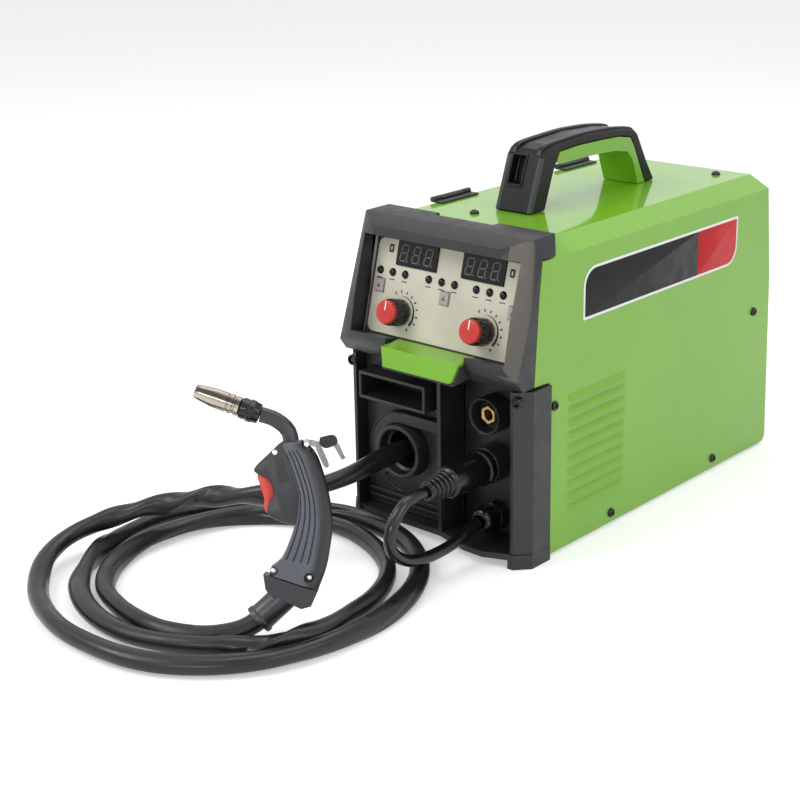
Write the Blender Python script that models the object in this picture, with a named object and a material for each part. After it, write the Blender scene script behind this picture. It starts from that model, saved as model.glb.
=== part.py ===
"""Compact inverter MIG welding machine with its torch and polarity lead.

Origin: under the middle of the base, on the floor. +Z is up, the front faces -Y,
and the sheet-metal side with the louvres is on +X. The wire bay is behind the
side door on -X. Sizes are in millimetres; MM turns them into metres.
"""

import math

import bmesh
import bpy
from mathutils import Matrix, Vector
from mathutils.geometry import interpolate_bezier

MM = 0.001
GAP = 0.3

# Driving dimensions of the case
HALF_WIDTH = 91.5
CASE_TOP = 255.0
CASE_BOTTOM = 2.5
UNDERSIDE = 1.5
SHEET = 1.2
CHAMFER_X = 19.0
CHAMFER_Z = 10.4
DOOR_SPLIT_X = -73.5
DIVIDER_X = -8.0
DOOR_AXIS = (-76.6, 22.0, 257.6)
REAR_LEAN = math.atan2(6.5, 156.2)
HINGE_SPANS = ((-88.0, -40.0), (84.0, 132.0))
HINGE_END = 9.6
HINGE_RADIUS = 2.4
LATCH_SPOT = (22.0, 38.0)
FAN = Vector((42.0, 157.0, 150.0))
ROCKER_AXIS = (-46.0, 171.5, 204.0)

# Tilted head moulding: its front plane runs from HEAD_TOP down to HEAD_KNEE
HEAD_TOP = Vector((0.0, -160.6, 260.8))
HEAD_KNEE = Vector((0.0, -187.8, 157.6))
HEAD_TOP_HALF = 84.5
CAP_REAR = -133.0
CAP_FOOT = 244.5
HEAD_KNEE_HALF = 91.8
PANEL_DEPTH = 12.75
PANEL_HALF = 79.2
SEAT_HALF = 81.9

# Front lower section
PILLAR_HALF = 94.5
SILL_Z = 12.5
LOWER_TOP = 146.6
PORT = Vector((-36.0, -182.0, 70.0))
SOCKET_X = 45.0
SOCKET_WALL_Y = -152.0
SOCKET_HEIGHTS = (115.5, 74.0)
GLAND_Z = 28.0

# Wire feed
SPOOL_CENTRE = Vector((-50.0, 62.0, 128.0))
SPOOL_RADIUS = 98.0
DRIVE_ROLL = Vector((-36.0, -95.0, 57.6))
PRESSURE_ROLL = Vector((-36.0, -95.0, 81.4))

# Torch: its own frame stands on the floor at the cable end
TORCH_FOOT = Vector((12.9, -398.1, 8.0))
TORCH_TURN = math.radians(42.2)
TORCH_LEAN = math.radians(20.0)

COLOURS = {
    "green_paint": ((0.27, 0.56, 0.07), 0.4, 0.0),
    "black_plastic": ((0.03, 0.03, 0.035), 0.5, 0.0),
    "beige_panel": ((0.58, 0.55, 0.46), 0.5, 0.0),
    "red_plastic": ((0.75, 0.06, 0.04), 0.4, 0.0),
    "grey_button": ((0.4, 0.4, 0.4), 0.5, 0.0),
    "display_lens": ((0.01, 0.01, 0.012), 0.2, 0.0),
    "brass": ((0.8, 0.55, 0.22), 0.3, 1.0),
    "steel": ((0.5, 0.5, 0.5), 0.35, 1.0),
    "nickel": ((0.62, 0.6, 0.56), 0.25, 1.0),
    "aluminium": ((0.7, 0.7, 0.72), 0.4, 1.0),
    "copper": ((0.8, 0.4, 0.22), 0.3, 1.0),
    "rubber": ((0.02, 0.02, 0.02), 0.8, 0.0),
    "green_board": ((0.02, 0.2, 0.07), 0.5, 0.0),
    "cord_sheath": ((0.04, 0.04, 0.045), 0.55, 0.0),
}


# ---------------------------------------------------------------- scene and materials

def clear_scene():
    for item in list(bpy.data.objects):
        bpy.data.objects.remove(item, do_unlink=True)


def make_collection(name):
    made = bpy.data.collections.new(name)
    bpy.context.scene.collection.children.link(made)
    return made


def make_material(name):
    colour, roughness, metallic = COLOURS[name]
    made = bpy.data.materials.new(name)
    made.use_nodes = True
    shader = made.node_tree.nodes["Principled BSDF"]
    shader.inputs["Base Color"].default_value = (*colour, 1.0)
    shader.inputs["Roughness"].default_value = roughness
    shader.inputs["Metallic"].default_value = metallic
    return made


# ---------------------------------------------------------------- shape helpers

def box(low, high):
    """A box between two corners."""
    low, high = Vector(low), Vector(high)
    bm = bmesh.new()
    size = high - low
    place = Matrix.Translation((low + high) / 2) @ Matrix.Diagonal((*size, 1.0))
    bmesh.ops.create_cube(bm, size=1.0, matrix=place)
    return bm


def prism(outline, low, high, axis):
    """A flat outline pulled from low to high along X, Y or Z."""
    spots = {"X": lambda p: (low, p[0], p[1]), "Y": lambda p: (p[0], low, p[1]),
             "Z": lambda p: (p[0], p[1], low)}[axis]
    bm = bmesh.new()
    face = bm.faces.new([bm.verts.new(spots(point)) for point in outline])
    pulled = bmesh.ops.extrude_face_region(bm, geom=[face])
    move = Vector([high - low if axis == letter else 0.0 for letter in "XYZ"])
    verts = [item for item in pulled["geom"] if isinstance(item, bmesh.types.BMVert)]
    bmesh.ops.translate(bm, vec=move, verts=verts)
    bmesh.ops.recalc_face_normals(bm, faces=bm.faces)
    return bm


def rod(start, end, radius, end_radius=None, sides=24):
    """A cylinder, or a cone, from start to end."""
    start, end = Vector(start), Vector(end)
    turn = (end - start).to_track_quat("Z", "Y").to_matrix().to_4x4()
    bm = bmesh.new()
    bmesh.ops.create_cone(
        bm, cap_ends=True, segments=sides, radius1=radius,
        radius2=radius if end_radius is None else end_radius,
        depth=(end - start).length,
        matrix=Matrix.Translation((start + end) / 2) @ turn,
    )
    return bm


def turned(profile, centre, direction, sides=24, closed=False):
    """A profile of (radius, along) points turned round a line through centre."""
    bm = bmesh.new()
    verts = [bm.verts.new((radius, 0.0, along)) for radius, along in profile]
    edges = [bm.edges.new(pair) for pair in zip(verts, verts[1:])]
    if closed:
        edges.append(bm.edges.new((verts[-1], verts[0])))
    bmesh.ops.spin(bm, geom=verts + edges, cent=(0, 0, 0), axis=(0, 0, 1),
                   angle=math.tau, steps=sides, use_merge=True)
    bmesh.ops.remove_doubles(bm, verts=bm.verts, dist=0.0005)
    bmesh.ops.recalc_face_normals(bm, faces=bm.faces)
    turn = Vector(direction).to_track_quat("Z", "Y").to_matrix().to_4x4()
    bm.transform(Matrix.Translation(Vector(centre)) @ turn)
    return bm


def hull(points):
    """The smallest solid round the points."""
    bm = bmesh.new()
    verts = [bm.verts.new(point) for point in points]
    found = bmesh.ops.convex_hull(bm, input=verts)
    spare = {item for item in found["geom_interior"] + found["geom_unused"]
             if isinstance(item, bmesh.types.BMVert)}
    bmesh.ops.delete(bm, geom=list(spare), context="VERTS")
    bmesh.ops.dissolve_limit(bm, angle_limit=0.002, verts=bm.verts, edges=bm.edges)
    bmesh.ops.recalc_face_normals(bm, faces=bm.faces)
    return bm


def both_sides(points):
    """The points and their mirror images across X = 0."""
    return [(side * x, y, z) for x, y, z in points for side in (1, -1)]


def gathered(shapes):
    """Several separate solids in one mesh."""
    whole = bmesh.new()
    for shape in shapes:
        mesh = bpy.data.meshes.new("loose")
        shape.to_mesh(mesh)
        shape.free()
        whole.from_mesh(mesh)
        bpy.data.meshes.remove(mesh)
    return whole


def moved(bm, matrix):
    bm.transform(matrix)
    return bm


class Shop:
    """Keeps the collections and materials, and turns shapes into named parts."""

    def __init__(self):
        self.parts = make_collection("mig_welder")
        self.cutters = make_collection("cutters")
        self.materials = {name: make_material(name) for name in COLOURS}

    def part(self, name, bm, material, pivot=(0.0, 0.0, 0.0), sharp=32.0):
        """A named part from a shape in millimetres, with its origin on its pivot."""
        pivot = Vector(pivot)
        bm.transform(Matrix.Diagonal((MM, MM, MM, 1.0)) @ Matrix.Translation(-pivot))
        mesh = bpy.data.meshes.new(name)
        bm.to_mesh(mesh)
        bm.free()
        mesh.shade_smooth()
        mesh.set_sharp_from_angle(angle=math.radians(sharp))
        mesh.materials.append(self.materials[material])
        made = bpy.data.objects.new(name, mesh)
        made.location = pivot * MM
        self.parts.objects.link(made)
        return made

    def tool(self, name, bm, target, operation):
        """A hidden helper solid that is cut from, joined to or kept of the target."""
        bm.transform(Matrix.Diagonal((MM, MM, MM, 1.0)))
        mesh = bpy.data.meshes.new(name)
        bm.to_mesh(mesh)
        bm.free()
        helper = bpy.data.objects.new(name, mesh)
        helper.hide_render = True
        helper.display_type = "WIRE"
        self.cutters.objects.link(helper)
        step = target.modifiers.new(name, "BOOLEAN")
        step.operation = operation
        step.solver = "EXACT"
        step.object = helper
        return helper

    def cut(self, target, bm, name):
        self.tool(f"{target.name}_{name}", bm, target, "DIFFERENCE")

    def join(self, target, bm, name):
        self.tool(f"{target.name}_{name}", bm, target, "UNION")

    def keep(self, target, bm, name):
        self.tool(f"{target.name}_{name}", bm, target, "INTERSECT")


def head_frame():
    """Frame of the tilted front: X across, Y up along the slope, Z out of it."""
    up = (HEAD_TOP - HEAD_KNEE).normalized()
    across = Vector((1.0, 0.0, 0.0))
    turn = Matrix((across, up, across.cross(up))).transposed().to_4x4()
    return Matrix.Translation(HEAD_TOP) @ turn


HEAD = head_frame()


def on_head(x, down, out):
    """A point by its distance across, down the slope and out of the front plane."""
    return HEAD @ Vector((x, -down, out))


# ---------------------------------------------------------------- case

def case_outline(offset):
    """Half of the case's cross-section, from the foot of the side to the top."""
    side = HALF_WIDTH + offset
    top = CASE_TOP + offset
    drop = offset * 0.6
    return [(side, CASE_BOTTOM), (side, CASE_TOP - CHAMFER_Z + drop),
            (HALF_WIDTH - CHAMFER_X + drop, top)]


def side_outline(offset=0.0):
    """The case seen from the side: the front follows the mouldings, the rear leans."""
    return [(-147.5, CASE_BOTTOM - 1), (-147.5, 147.4), (-166.3, 148.3), (-161.0, 217.0),
            (-157.4, 244.8), (-156.0, CASE_TOP + 2), (170.3 - offset, CASE_TOP + 2),
            (171.0 - offset, 245.0), (181.0 - offset, 160.6), (188.0 - offset, 9.0),
            (186.0 - offset, 4.5), (181.0 - offset, CASE_BOTTOM - 1)]


def louvre(z):
    """One hooded louvre standing out of the side sheet, with tapered ends."""
    front, rear, out, tall = -123.0, -44.0, 3.2, 5.6
    x = HALF_WIDTH - 0.6
    return hull([(x, front, z), (x, rear, z), (x, front, z + tall), (x, rear, z + tall),
                 (x + 0.6 + out, front + 4, z), (x + 0.6 + out, rear - 4, z),
                 (x + 0.6 + out * 0.8, front + 5, z + 1.6),
                 (x + 0.6 + out * 0.8, rear - 5, z + 1.6)])


def louvre_slot(z):
    """The opening under a louvre's hood, through the sheet."""
    return box((HALF_WIDTH - 4, -119, z - 1), (HALF_WIDTH + 2.4, -48, z + 1.2))


def make_cover(shop):
    outer = case_outline(0.0) + [(DOOR_SPLIT_X, CASE_TOP)]
    inner = case_outline(-SHEET) + [(DOOR_SPLIT_X, CASE_TOP - SHEET)]
    bm = prism(outer + inner[::-1], -170, 190, "Y")
    cover = shop.part("cover", bm, "green_paint")
    shop.keep(cover, prism(side_outline(), -120, 120, "X"), "side_view")
    heights = [33.0 + 10.4 * step for step in range(10)]
    shop.join(cover, gathered([louvre(z) for z in heights]), "louvres")
    shop.cut(cover, gathered([louvre_slot(z) for z in heights]), "slots")


def make_side_door(shop):
    """Sheet door over the wire bay, hung from its top edge."""
    crease = CASE_TOP - CHAMFER_Z
    outer = [(DOOR_SPLIT_X - 1.0, CASE_TOP - 0.6), (-HALF_WIDTH, crease),
             (-HALF_WIDTH, CASE_BOTTOM + 1.0)]
    inner = [(-HALF_WIDTH + SHEET, CASE_BOTTOM + 1.0), (-HALF_WIDTH + SHEET, crease - 0.7),
             (DOOR_SPLIT_X - 1.0, CASE_TOP - 2.0)]
    bm = prism(outer + inner, -170, 190, "Y")
    door = shop.part("side_door", bm, "green_paint", pivot=DOOR_AXIS)
    shop.keep(door, prism(side_outline(), -120, 120, "X"), "side_view")
    shapes = []
    for y0, y1 in HINGE_SPANS:
        a, b = y0 + HINGE_END + GAP, y1 - HINGE_END - GAP
        x, z = DOOR_AXIS[0], DOOR_AXIS[2]
        shapes.append(rod((x, a, z), (x, b, z), HINGE_RADIUS, sides=12))
        shapes.append(box((x - 2.0, a, CASE_TOP - 1.6), (x + 0.6, b, z - 0.6)))
    for number, shape in enumerate(shapes):
        shop.join(door, shape, f"knuckle_{number}")
    under_cap = box((-HALF_WIDTH - 5, -180, CAP_FOOT), (DOOR_SPLIT_X + 5, CAP_REAR + 0.6, CASE_TOP + 5))
    shop.cut(door, under_cap, "cap_notch")
    hole = rod((-HALF_WIDTH - 3, *LATCH_SPOT), (-HALF_WIDTH + 3, *LATCH_SPOT), 4.4)
    shop.cut(door, hole, "latch_hole")


def make_door_latch(shop):
    """Quarter-turn latch: a knurled head outside and a cam inside the door."""
    x, (y, z) = -HALF_WIDTH, LATCH_SPOT
    head = turned([(0, -9.0), (7.5, -9.0), (8.5, -8.0), (8.5, -GAP), (4.0, -GAP), (4.0, 4.6),
                   (0, 4.6)], (x, y, z), (1, 0, 0), sides=16)
    latch = shop.part("door_latch", head, "black_plastic", pivot=(x, y, z))
    shop.join(latch, box((x - 10.2, y - 7.6, z - 1.2), (x - 8.6, y + 7.6, z + 1.2)), "grip")
    shop.join(latch, box((x + 2.6, y - 3.2, z - 12.0), (x + 4.4, y + 3.2, z + 4.0)), "cam")


def make_door_hinges(shop):
    """The fixed hinge halves: barrel ends and leaves screwed to the top sheet."""
    x, z = DOOR_AXIS[0], DOOR_AXIS[2]
    for name, (y0, y1) in zip(("hinge_front", "hinge_rear"), HINGE_SPANS):
        leaf = box((x, y0, CASE_TOP + GAP), (-66.0, y1, CASE_TOP + 1.6))
        hinge = shop.part(name, leaf, "black_plastic")
        for a, b in ((y0, y0 + HINGE_END), (y1 - HINGE_END, y1)):
            shop.join(hinge, rod((x, a, z), (x, b, z), HINGE_RADIUS, sides=12),
                      f"knuckle_{round(a)}")
        room = box((x - 4, y0 + HINGE_END, CASE_TOP - 1), (x + 3.2, y1 - HINGE_END, z + 4))
        shop.cut(hinge, room, "knuckle_room")


def make_base_tray(shop):
    tray = prism([(-89.6, 22), (-89.6, CASE_BOTTOM), (89.6, CASE_BOTTOM), (89.6, 22),
                  (88.1, 22), (88.1, 4.0), (-88.1, 4.0), (-88.1, 22)], -146.8, 180.0, "Y")
    made = shop.part("base_tray", tray, "steel")
    shop.join(made, box((-60, -138, UNDERSIDE), (60, 148, CASE_BOTTOM + 1)), "pressing")


def make_rear_panel(shop):
    """Sloping rear wall inside the cover, with its fan opening and inlets."""
    outline = [(184.5, 4.4), (178.0, 160.6), (168.0, 245.0), (167.4, 253.4),
               (164.4, 253.4), (165.0, 245.0), (175.0, 160.6), (181.5, 4.4)]
    panel = shop.part("rear_panel", prism(outline, -89.8, 89.8, "X"), "black_plastic")
    edge = case_outline(-SHEET - GAP)
    inside = edge + [(-x, z) for x, z in edge[::-1]]
    shop.keep(panel, prism(inside, 150, 200, "Y"), "front_view")
    shop.cut(panel, rod(FAN + Vector((0, -20, 0)), FAN + Vector((0, 30, 0)), 38.5), "fan_hole")
    shop.cut(panel, box((-58, 150, 194.5), (-34, 200, 213.5)), "switch_hole")
    shop.cut(panel, rod((-46, 150, 60), (-46, 200, 60), 9.3), "mains_hole")
    shop.cut(panel, rod((-46, 150, 110), (-46, 200, 110), 5.3), "gas_hole")


def make_divider(shop):
    outline = [(-146, 4.3), (-146, 140), (-112, 150), (-112, 253.3), (150, 253.3), (150, 4.3)]
    plate = prism(outline, DIVIDER_X, DIVIDER_X + 1.5, "X")
    divider = shop.part("divider_panel", plate, "steel")
    shop.cut(divider, rod((DIVIDER_X - 5, *DRIVE_ROLL.yz), (DIVIDER_X + 5, *DRIVE_ROLL.yz), 5.0),
             "motor_hole")


def make_rear_feet(shop):
    for name, side in (("rear_foot_left", -1), ("rear_foot_right", 1)):
        pad = [(0, 0), (8, 0), (9, 1.2), (9, CASE_BOTTOM - GAP), (0, CASE_BOTTOM - GAP)]
        shop.part(name, turned(pad, (side * 78, 166, 0), (0, 0, 1)), "rubber")


# ---------------------------------------------------------------- head moulding

def make_front_bezel(shop):
    """Hooded frame round the control panel, with a cap that laps over the cover."""
    rim = [tuple(on_head(HEAD_TOP_HALF, 0, 0)), tuple(on_head(HEAD_KNEE_HALF, 106.7, 0)),
           (63.6, -173.2, 253.4), tuple(on_head(78.0, 102.0, 3.0)),
           tuple(on_head(HEAD_TOP_HALF, 4, -24)), (HEAD_KNEE_HALF, -168.0, 148.3),
           (HEAD_KNEE_HALF, -181.0, 148.3), (HEAD_TOP_HALF, -140.0, 261.0),
           (91.2, -157.9, 244.4)]
    bezel = shop.part("front_bezel", hull(both_sides(rim)), "black_plastic")
    cap = hull(both_sides([(84.4, CAP_REAR, 261), (84.4, -160, 260.6), (91.0, -141, 246),
                           (91.0, -158, 246), (84.4, CAP_REAR, 256), (91.0, -141, 250)]))
    shop.join(bezel, cap, "cap")
    edge = case_outline(GAP + 0.1)
    envelope = edge + [(-x, z) for x, z in edge[::-1]]
    shop.cut(bezel, prism(envelope, -157.9, -100, "Y"), "cover_seat")
    behind = [(-120, 140), (-148, 140), (-166.8, 147.9), (-161.5, 217), (-157.9, 244.4),
              (-120, 244.4)]
    shop.cut(bezel, prism(behind, -120, 120, "X"), "side_seat")
    low, high = PANEL_DEPTH + GAP, 60.0
    opening = moved(box((-PANEL_HALF, -97.0, -low - 40), (PANEL_HALF, -17.6, high)), HEAD)
    shop.cut(bezel, opening, "window")
    shop.cut(bezel, moved(box((-SEAT_HALF, -101, -60), (SEAT_HALF, -13, -low)), HEAD), "panel_seat")
    shop.cut(bezel, box((-30, -140, 252), (30, -120, 270)), "cap_notch")


def make_control_panel(shop):
    half = SEAT_HALF - GAP
    plate = box((-half, -100.6, -PANEL_DEPTH - 3.2), (half, -13.4, FACE))
    panel = shop.part("control_panel", moved(plate, HEAD), "beige_panel")
    holes = []
    for x in KNOB_XS:
        holes.append(moved(rod((x, -76.3, -30), (x, -76.3, 0), 4.0), HEAD))
    for x in BUTTON_XS:
        holes.append(moved(box((x - 4.9, -57.6 - 5.6, -30), (x + 4.9, -57.6 + 5.6, 0)), HEAD))
    for x, y in lamp_spots():
        holes.append(moved(rod((x, y, -30), (x, y, 0), 3.1, sides=8), HEAD))
    holes += display_blocks(GAP, -30, 0)
    shop.cut(panel, gathered(holes), "holes")


KNOB_XS = (-43.0, 43.0)
BUTTON_XS = (-69.0, -0.5, 68.0)
KNOB_NAMES = ("knob_left", "knob_right")
BUTTON_NAMES = ("button_left", "button_centre", "button_right")
FACE = -PANEL_DEPTH - 0.6
BOARD = FACE - 12.0


def display_blocks(grow, low, high):
    """The two digit windows, from one depth of the head frame to another."""
    return [moved(box((x0 - grow, -39.0 - grow, low), (x1 + grow, -18.5 + grow, high)), HEAD)
            for x0, x1 in ((-54.8, -13.0), (13.0, 54.8))]


def lamp_spots():
    return [(group + step * 13.3, -45.6) for group in (-57.5, -6.0, 42.5) for step in (-1, 0, 1)]


def make_display_board(shop):
    """Board behind the panel; its digits and lamps come up through the panel."""
    board = moved(box((-78, -96, BOARD - 1.6), (78, -17, BOARD)), HEAD)
    part = shop.part("display_board", board, "display_lens")
    shop.join(part, gathered(display_blocks(0.0, BOARD - 0.5, FACE + 1.6)), "digits")
    lamps = []
    for x, y in lamp_spots():
        profile = [(0, BOARD - 0.5), (2.7, BOARD - 0.5), (2.7, FACE + 0.9), (0, FACE + 1.6)]
        lamps.append(moved(turned(profile, (x, y, 0), (0, 0, 1), sides=8), HEAD))
    shop.join(part, gathered(lamps), "lamps")


def make_buttons(shop):
    for name, x in zip(BUTTON_NAMES, BUTTON_XS):
        key = moved(box((x - 4.5, -57.6 - 5.2, FACE - 6), (x + 4.5, -57.6 + 5.2, FACE + 1.8)),
                    HEAD)
        shop.part(name, key, "grey_button", pivot=HEAD @ Vector((x, -57.6, FACE)))


def fluted(radius, depth, count, low, high):
    """A round body with shallow flutes down its side."""
    outline = []
    for step in range(count * 2):
        angle = math.tau * step / (count * 2)
        size = radius - (depth if step % 2 else 0.0)
        outline.append((size * math.cos(angle), size * math.sin(angle)))
    return prism(outline, low, high, "Z")


def make_knobs(shop):
    for name, x in zip(KNOB_NAMES, KNOB_XS):
        place = HEAD @ Matrix.Translation((x, -76.3, FACE))
        body = fluted(11.0, 0.7, 14, GAP + 0.5, 15.5)
        knob = shop.part(name, moved(body, place), "black_plastic",
                         pivot=HEAD @ Vector((x, -76.3, FACE)))
        shaft = rod((0, 0, -6), (0, 0, 3), 3.0, sides=16)
        shop.join(knob, moved(shaft, place), "shaft")
        crown = turned([(0, 14.0), (9.6, 14.0), (9.6, 19.4), (8.8, 20.2), (0, 20.2)],
                       (0, 0, 0), (0, 0, 1))
        shop.join(knob, moved(crown, place), "crown")
        pointer = box((-0.6, 1.0, 19.8), (0.6, 9.2, 20.6))
        shop.join(knob, moved(pointer, place), "pointer")


TRIM = [(40.5, -173.4, 164.2), (39.8, -195.6, 163.2), (34.8, -199.6, 148.0),
        (34.8, -184.0, 148.0), (40.5, -184.0, 150.0), (40.5, -173.4, 158.0)]


TRIM_HEADROOM = 14.0


def trim_seat():
    """The trim's shape made larger by the gap, with free room in front of it and above it."""
    middle_y, middle_z = -186.0, 160.0
    seat = [(x + GAP, y - 4.0 if y < middle_y else y + GAP, z + GAP if z > middle_z else z - GAP)
            for x, y, z in TRIM]
    raised = [(x, y, z + TRIM_HEADROOM) for x, y, z in seat if z > middle_z]
    return hull(both_sides(seat + raised))


def make_accent_trim(shop):
    """Green bar set in a lip of the bezel, from the panel's lower edge to the front."""
    bezel = bpy.data.objects["front_bezel"]
    lip = [(42.4, -176, 160), (41.6, -194.0, 161.6), (36.8, -197.8, 145.8), (36.8, -184.6, 145.8),
           (42.4, -184.6, 150), (42.4, -176, 153)]
    shop.join(bezel, hull(both_sides(lip)), "trim_lip")
    shop.cut(bezel, trim_seat(), "trim_seat")
    shop.part("accent_trim", hull(both_sides(TRIM)), "green_paint")


# ---------------------------------------------------------------- front lower section

def make_front_frame(shop):
    """Sill, corner pillars and front feet in one moulding."""
    outline = [(-81.0, -149.0), (-81.0, -181.5), (8.0, -181.5), (40.0, -191.0), (60.0, -191.5),
               (81.0, -182.6), (81.0, -149.0)]
    frame = shop.part("front_frame", prism(outline, 7.5, SILL_Z, "Z"), "black_plastic")
    for name, side in (("left", -1), ("right", 1)):
        pillar = [(side * PILLAR_HALF, -148.3), (side * PILLAR_HALF, -170.5),
                  (side * 83.3, -181.7), (side * 80.4, -181.7), (side * 80.4, -148.3)]
        shop.join(frame, prism(pillar, SILL_Z - 1, LOWER_TOP, "Z"), f"pillar_{name}")
        foot = [(side * 94.7, -148.1), (side * 94.7, -171.5), (side * 84.0, -183.2),
                (side * 79.0, -183.2), (side * 79.0, -148.1)]
        shop.join(frame, prism(foot, 0.0, SILL_Z - 0.4, "Z"), f"foot_{name}")


WALL_Y = -170.0
PORT_RADIUS = 23.0
ARCH_RADIUS = 33.0
BAR_FOOT = 23.5


def arch_outline():
    """Raised surround of the port: a bar to the post, bending into an arc round the left."""
    turn = [math.radians(90 + 18 * step) for step in range(9)]
    arc = [(PORT.x + ARCH_RADIUS * math.cos(a), PORT.z + ARCH_RADIUS * math.sin(a)) for a in turn]
    foot = PORT.z + BAR_FOOT
    return [(7.5, foot), (7.5, PORT.z + ARCH_RADIUS)] + arc + [(PORT.x, PORT.z), (PORT.x, foot)]


def make_port_housing(shop):
    """Recessed front wall of the torch side, with its post, port surround and pocket hole."""
    wall = box((-80.0, WALL_Y, SILL_Z + GAP), (10.5, WALL_Y + 3.0, LOWER_TOP))
    housing = shop.part("port_housing", wall, "black_plastic")
    shop.join(housing, box((6.5, -182.0, SILL_Z + GAP), (10.5, SOCKET_WALL_Y - 1, LOWER_TOP)), "side")
    shop.join(housing, prism(arch_outline(), WALL_Y - 8.0, WALL_Y + 2.0, "Y"), "arch")
    way = Vector((0, 30, 0))
    shop.cut(housing, rod(PORT - way, PORT + way, PORT_RADIUS + 0.5, sides=24), "port")
    shop.cut(housing, box((-73.4, -190, 110.6), (-1.6, -150, 134.4)), "pocket_hole")


def make_port_ring(shop):
    """Collar of the port, with a narrower socket inside and a flange behind the wall."""
    profile = [(16.5, 20), (16.5, 9), (19, 7), (19, -0.8), (22.3, -0.8), (PORT_RADIUS, 0),
               (PORT_RADIUS, 15.3), (26, 15.3), (26, 20)]
    ring = turned(profile, PORT, (0, 1, 0), sides=24, closed=True)
    shop.part("port_ring", ring, "black_plastic")


def make_pocket(shop):
    """Open storage pocket with a raised rim."""
    pocket = shop.part("storage_pocket", box((-73, -187, 111), (-2, -150, 134)), "black_plastic")
    shop.cut(pocket, box((-70.4, -195, 113.6), (-4.6, -152.5, 131.4)), "hollow")


def make_socket_panel(shop):
    wall = box((10.9, SOCKET_WALL_Y, SILL_Z + GAP), (80.0, SOCKET_WALL_Y + 3, LOWER_TOP))
    panel = shop.part("socket_panel", wall, "black_plastic")
    for number, z in enumerate(SOCKET_HEIGHTS):
        shop.cut(panel, rod((SOCKET_X, -170, z), (SOCKET_X, -130, z), 11.3), f"socket_{number}")
    shop.cut(panel, rod((SOCKET_X, -170, GLAND_Z), (SOCKET_X, -130, GLAND_Z), 8.3), "gland")


def make_sockets(shop):
    """Two bayonet sockets in the wall; the open upper one shows its brass contact."""
    rings = {"socket_upper": [(7.9, -5.0), (13.2, -5.0), (13.2, -18.0)],
             "socket_lower": [(7.9, -6.0), (4.6, -6.0), (4.6, -18.0)]}
    for (name, front), z in zip(rings.items(), SOCKET_HEIGHTS):
        profile = front + [(15.5, -18.0), (15.5, -GAP), (11.0, -GAP), (11.0, 18.0), (7.9, 18.0)]
        shape = turned(profile, (SOCKET_X, SOCKET_WALL_Y, z), (0, 1, 0), sides=20, closed=True)
        shop.part(name, shape, "black_plastic")
    profile = [(0.0, 12.0), (4.6, 12.0), (4.6, -13.0), (7.0, -13.0), (7.6, -11.0), (7.6, 26.0),
               (0.0, 26.0)]
    contact = turned(profile, (SOCKET_X, SOCKET_WALL_Y, SOCKET_HEIGHTS[0]), (0, 1, 0), sides=24)
    shop.part("socket_contact", contact, "brass")


def make_gland(shop):
    """Cable gland: hexagon body and a domed nut round the lead."""
    place = (SOCKET_X, SOCKET_WALL_Y, GLAND_Z)
    dome = turned([(5.2, 12.0), (5.2, -24.0), (9.5, -24.0), (11.4, -19.0), (11.4, -9.0),
                   (12.6, -9.0), (12.6, -GAP), (8.0, -GAP), (8.0, 12.0)], place, (0, 1, 0),
                  sides=24, closed=True)
    shop.part("cable_gland", dome, "black_plastic")


# ---------------------------------------------------------------- carry handle

HANDLE_HALF = 18.0
HANDLE_OUTER = [(-78.0, 255.4), (-62.0, 299.0), (-57.0, 304.5), (-46.0, 307.0), (0.0, 309.6),
                (40.0, 307.8), (60.0, 305.3), (68.0, 303.2), (74.0, 298.0), (88.0, 274.0),
                (99.5, 255.4)]
HANDLE_SEAM = [(86.0, 255.4), (68.0, 290.0), (62.0, 298.0), (45.0, 301.0), (20.0, 301.9),
               (-12.0, 302.3), (-38.5, 300.8)]
CORE_SEAM = [(85.7, 255.4), (67.8, 289.8), (61.8, 297.7), (45.0, 300.7), (20.0, 301.6),
             (-12.0, 302.0), (-38.1, 300.5), (-42.2, 292.6)]
CORE_GRIP = [(-36.0, 290.4), (0.0, 291.0), (40.0, 289.4), (58.0, 286.0), (66.0, 278.5),
             (75.0, 255.4)]


def make_handle(shop):
    """Grip cover with a solid front leg, and the green lining under its bar and rear leg."""
    core = prism(CORE_SEAM + CORE_GRIP, -HANDLE_HALF, HANDLE_HALF, "X")
    shop.part("handle_core", core, "green_paint")
    leg = [(-46.0, 286.0), (-57.4, 255.4)]
    cover = prism(HANDLE_OUTER + HANDLE_SEAM + leg, -HANDLE_HALF, HANDLE_HALF, "X")
    made = shop.part("handle_cover", cover, "black_plastic")
    window = hull([(x, y, z) for x in (-10.5, 2.5)
                   for y, z in ((-73, 277), (-61.5, 277), (-53.5, 299), (-66, 299))])
    shop.cut(made, window, "window")


# ---------------------------------------------------------------- inner machine

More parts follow.
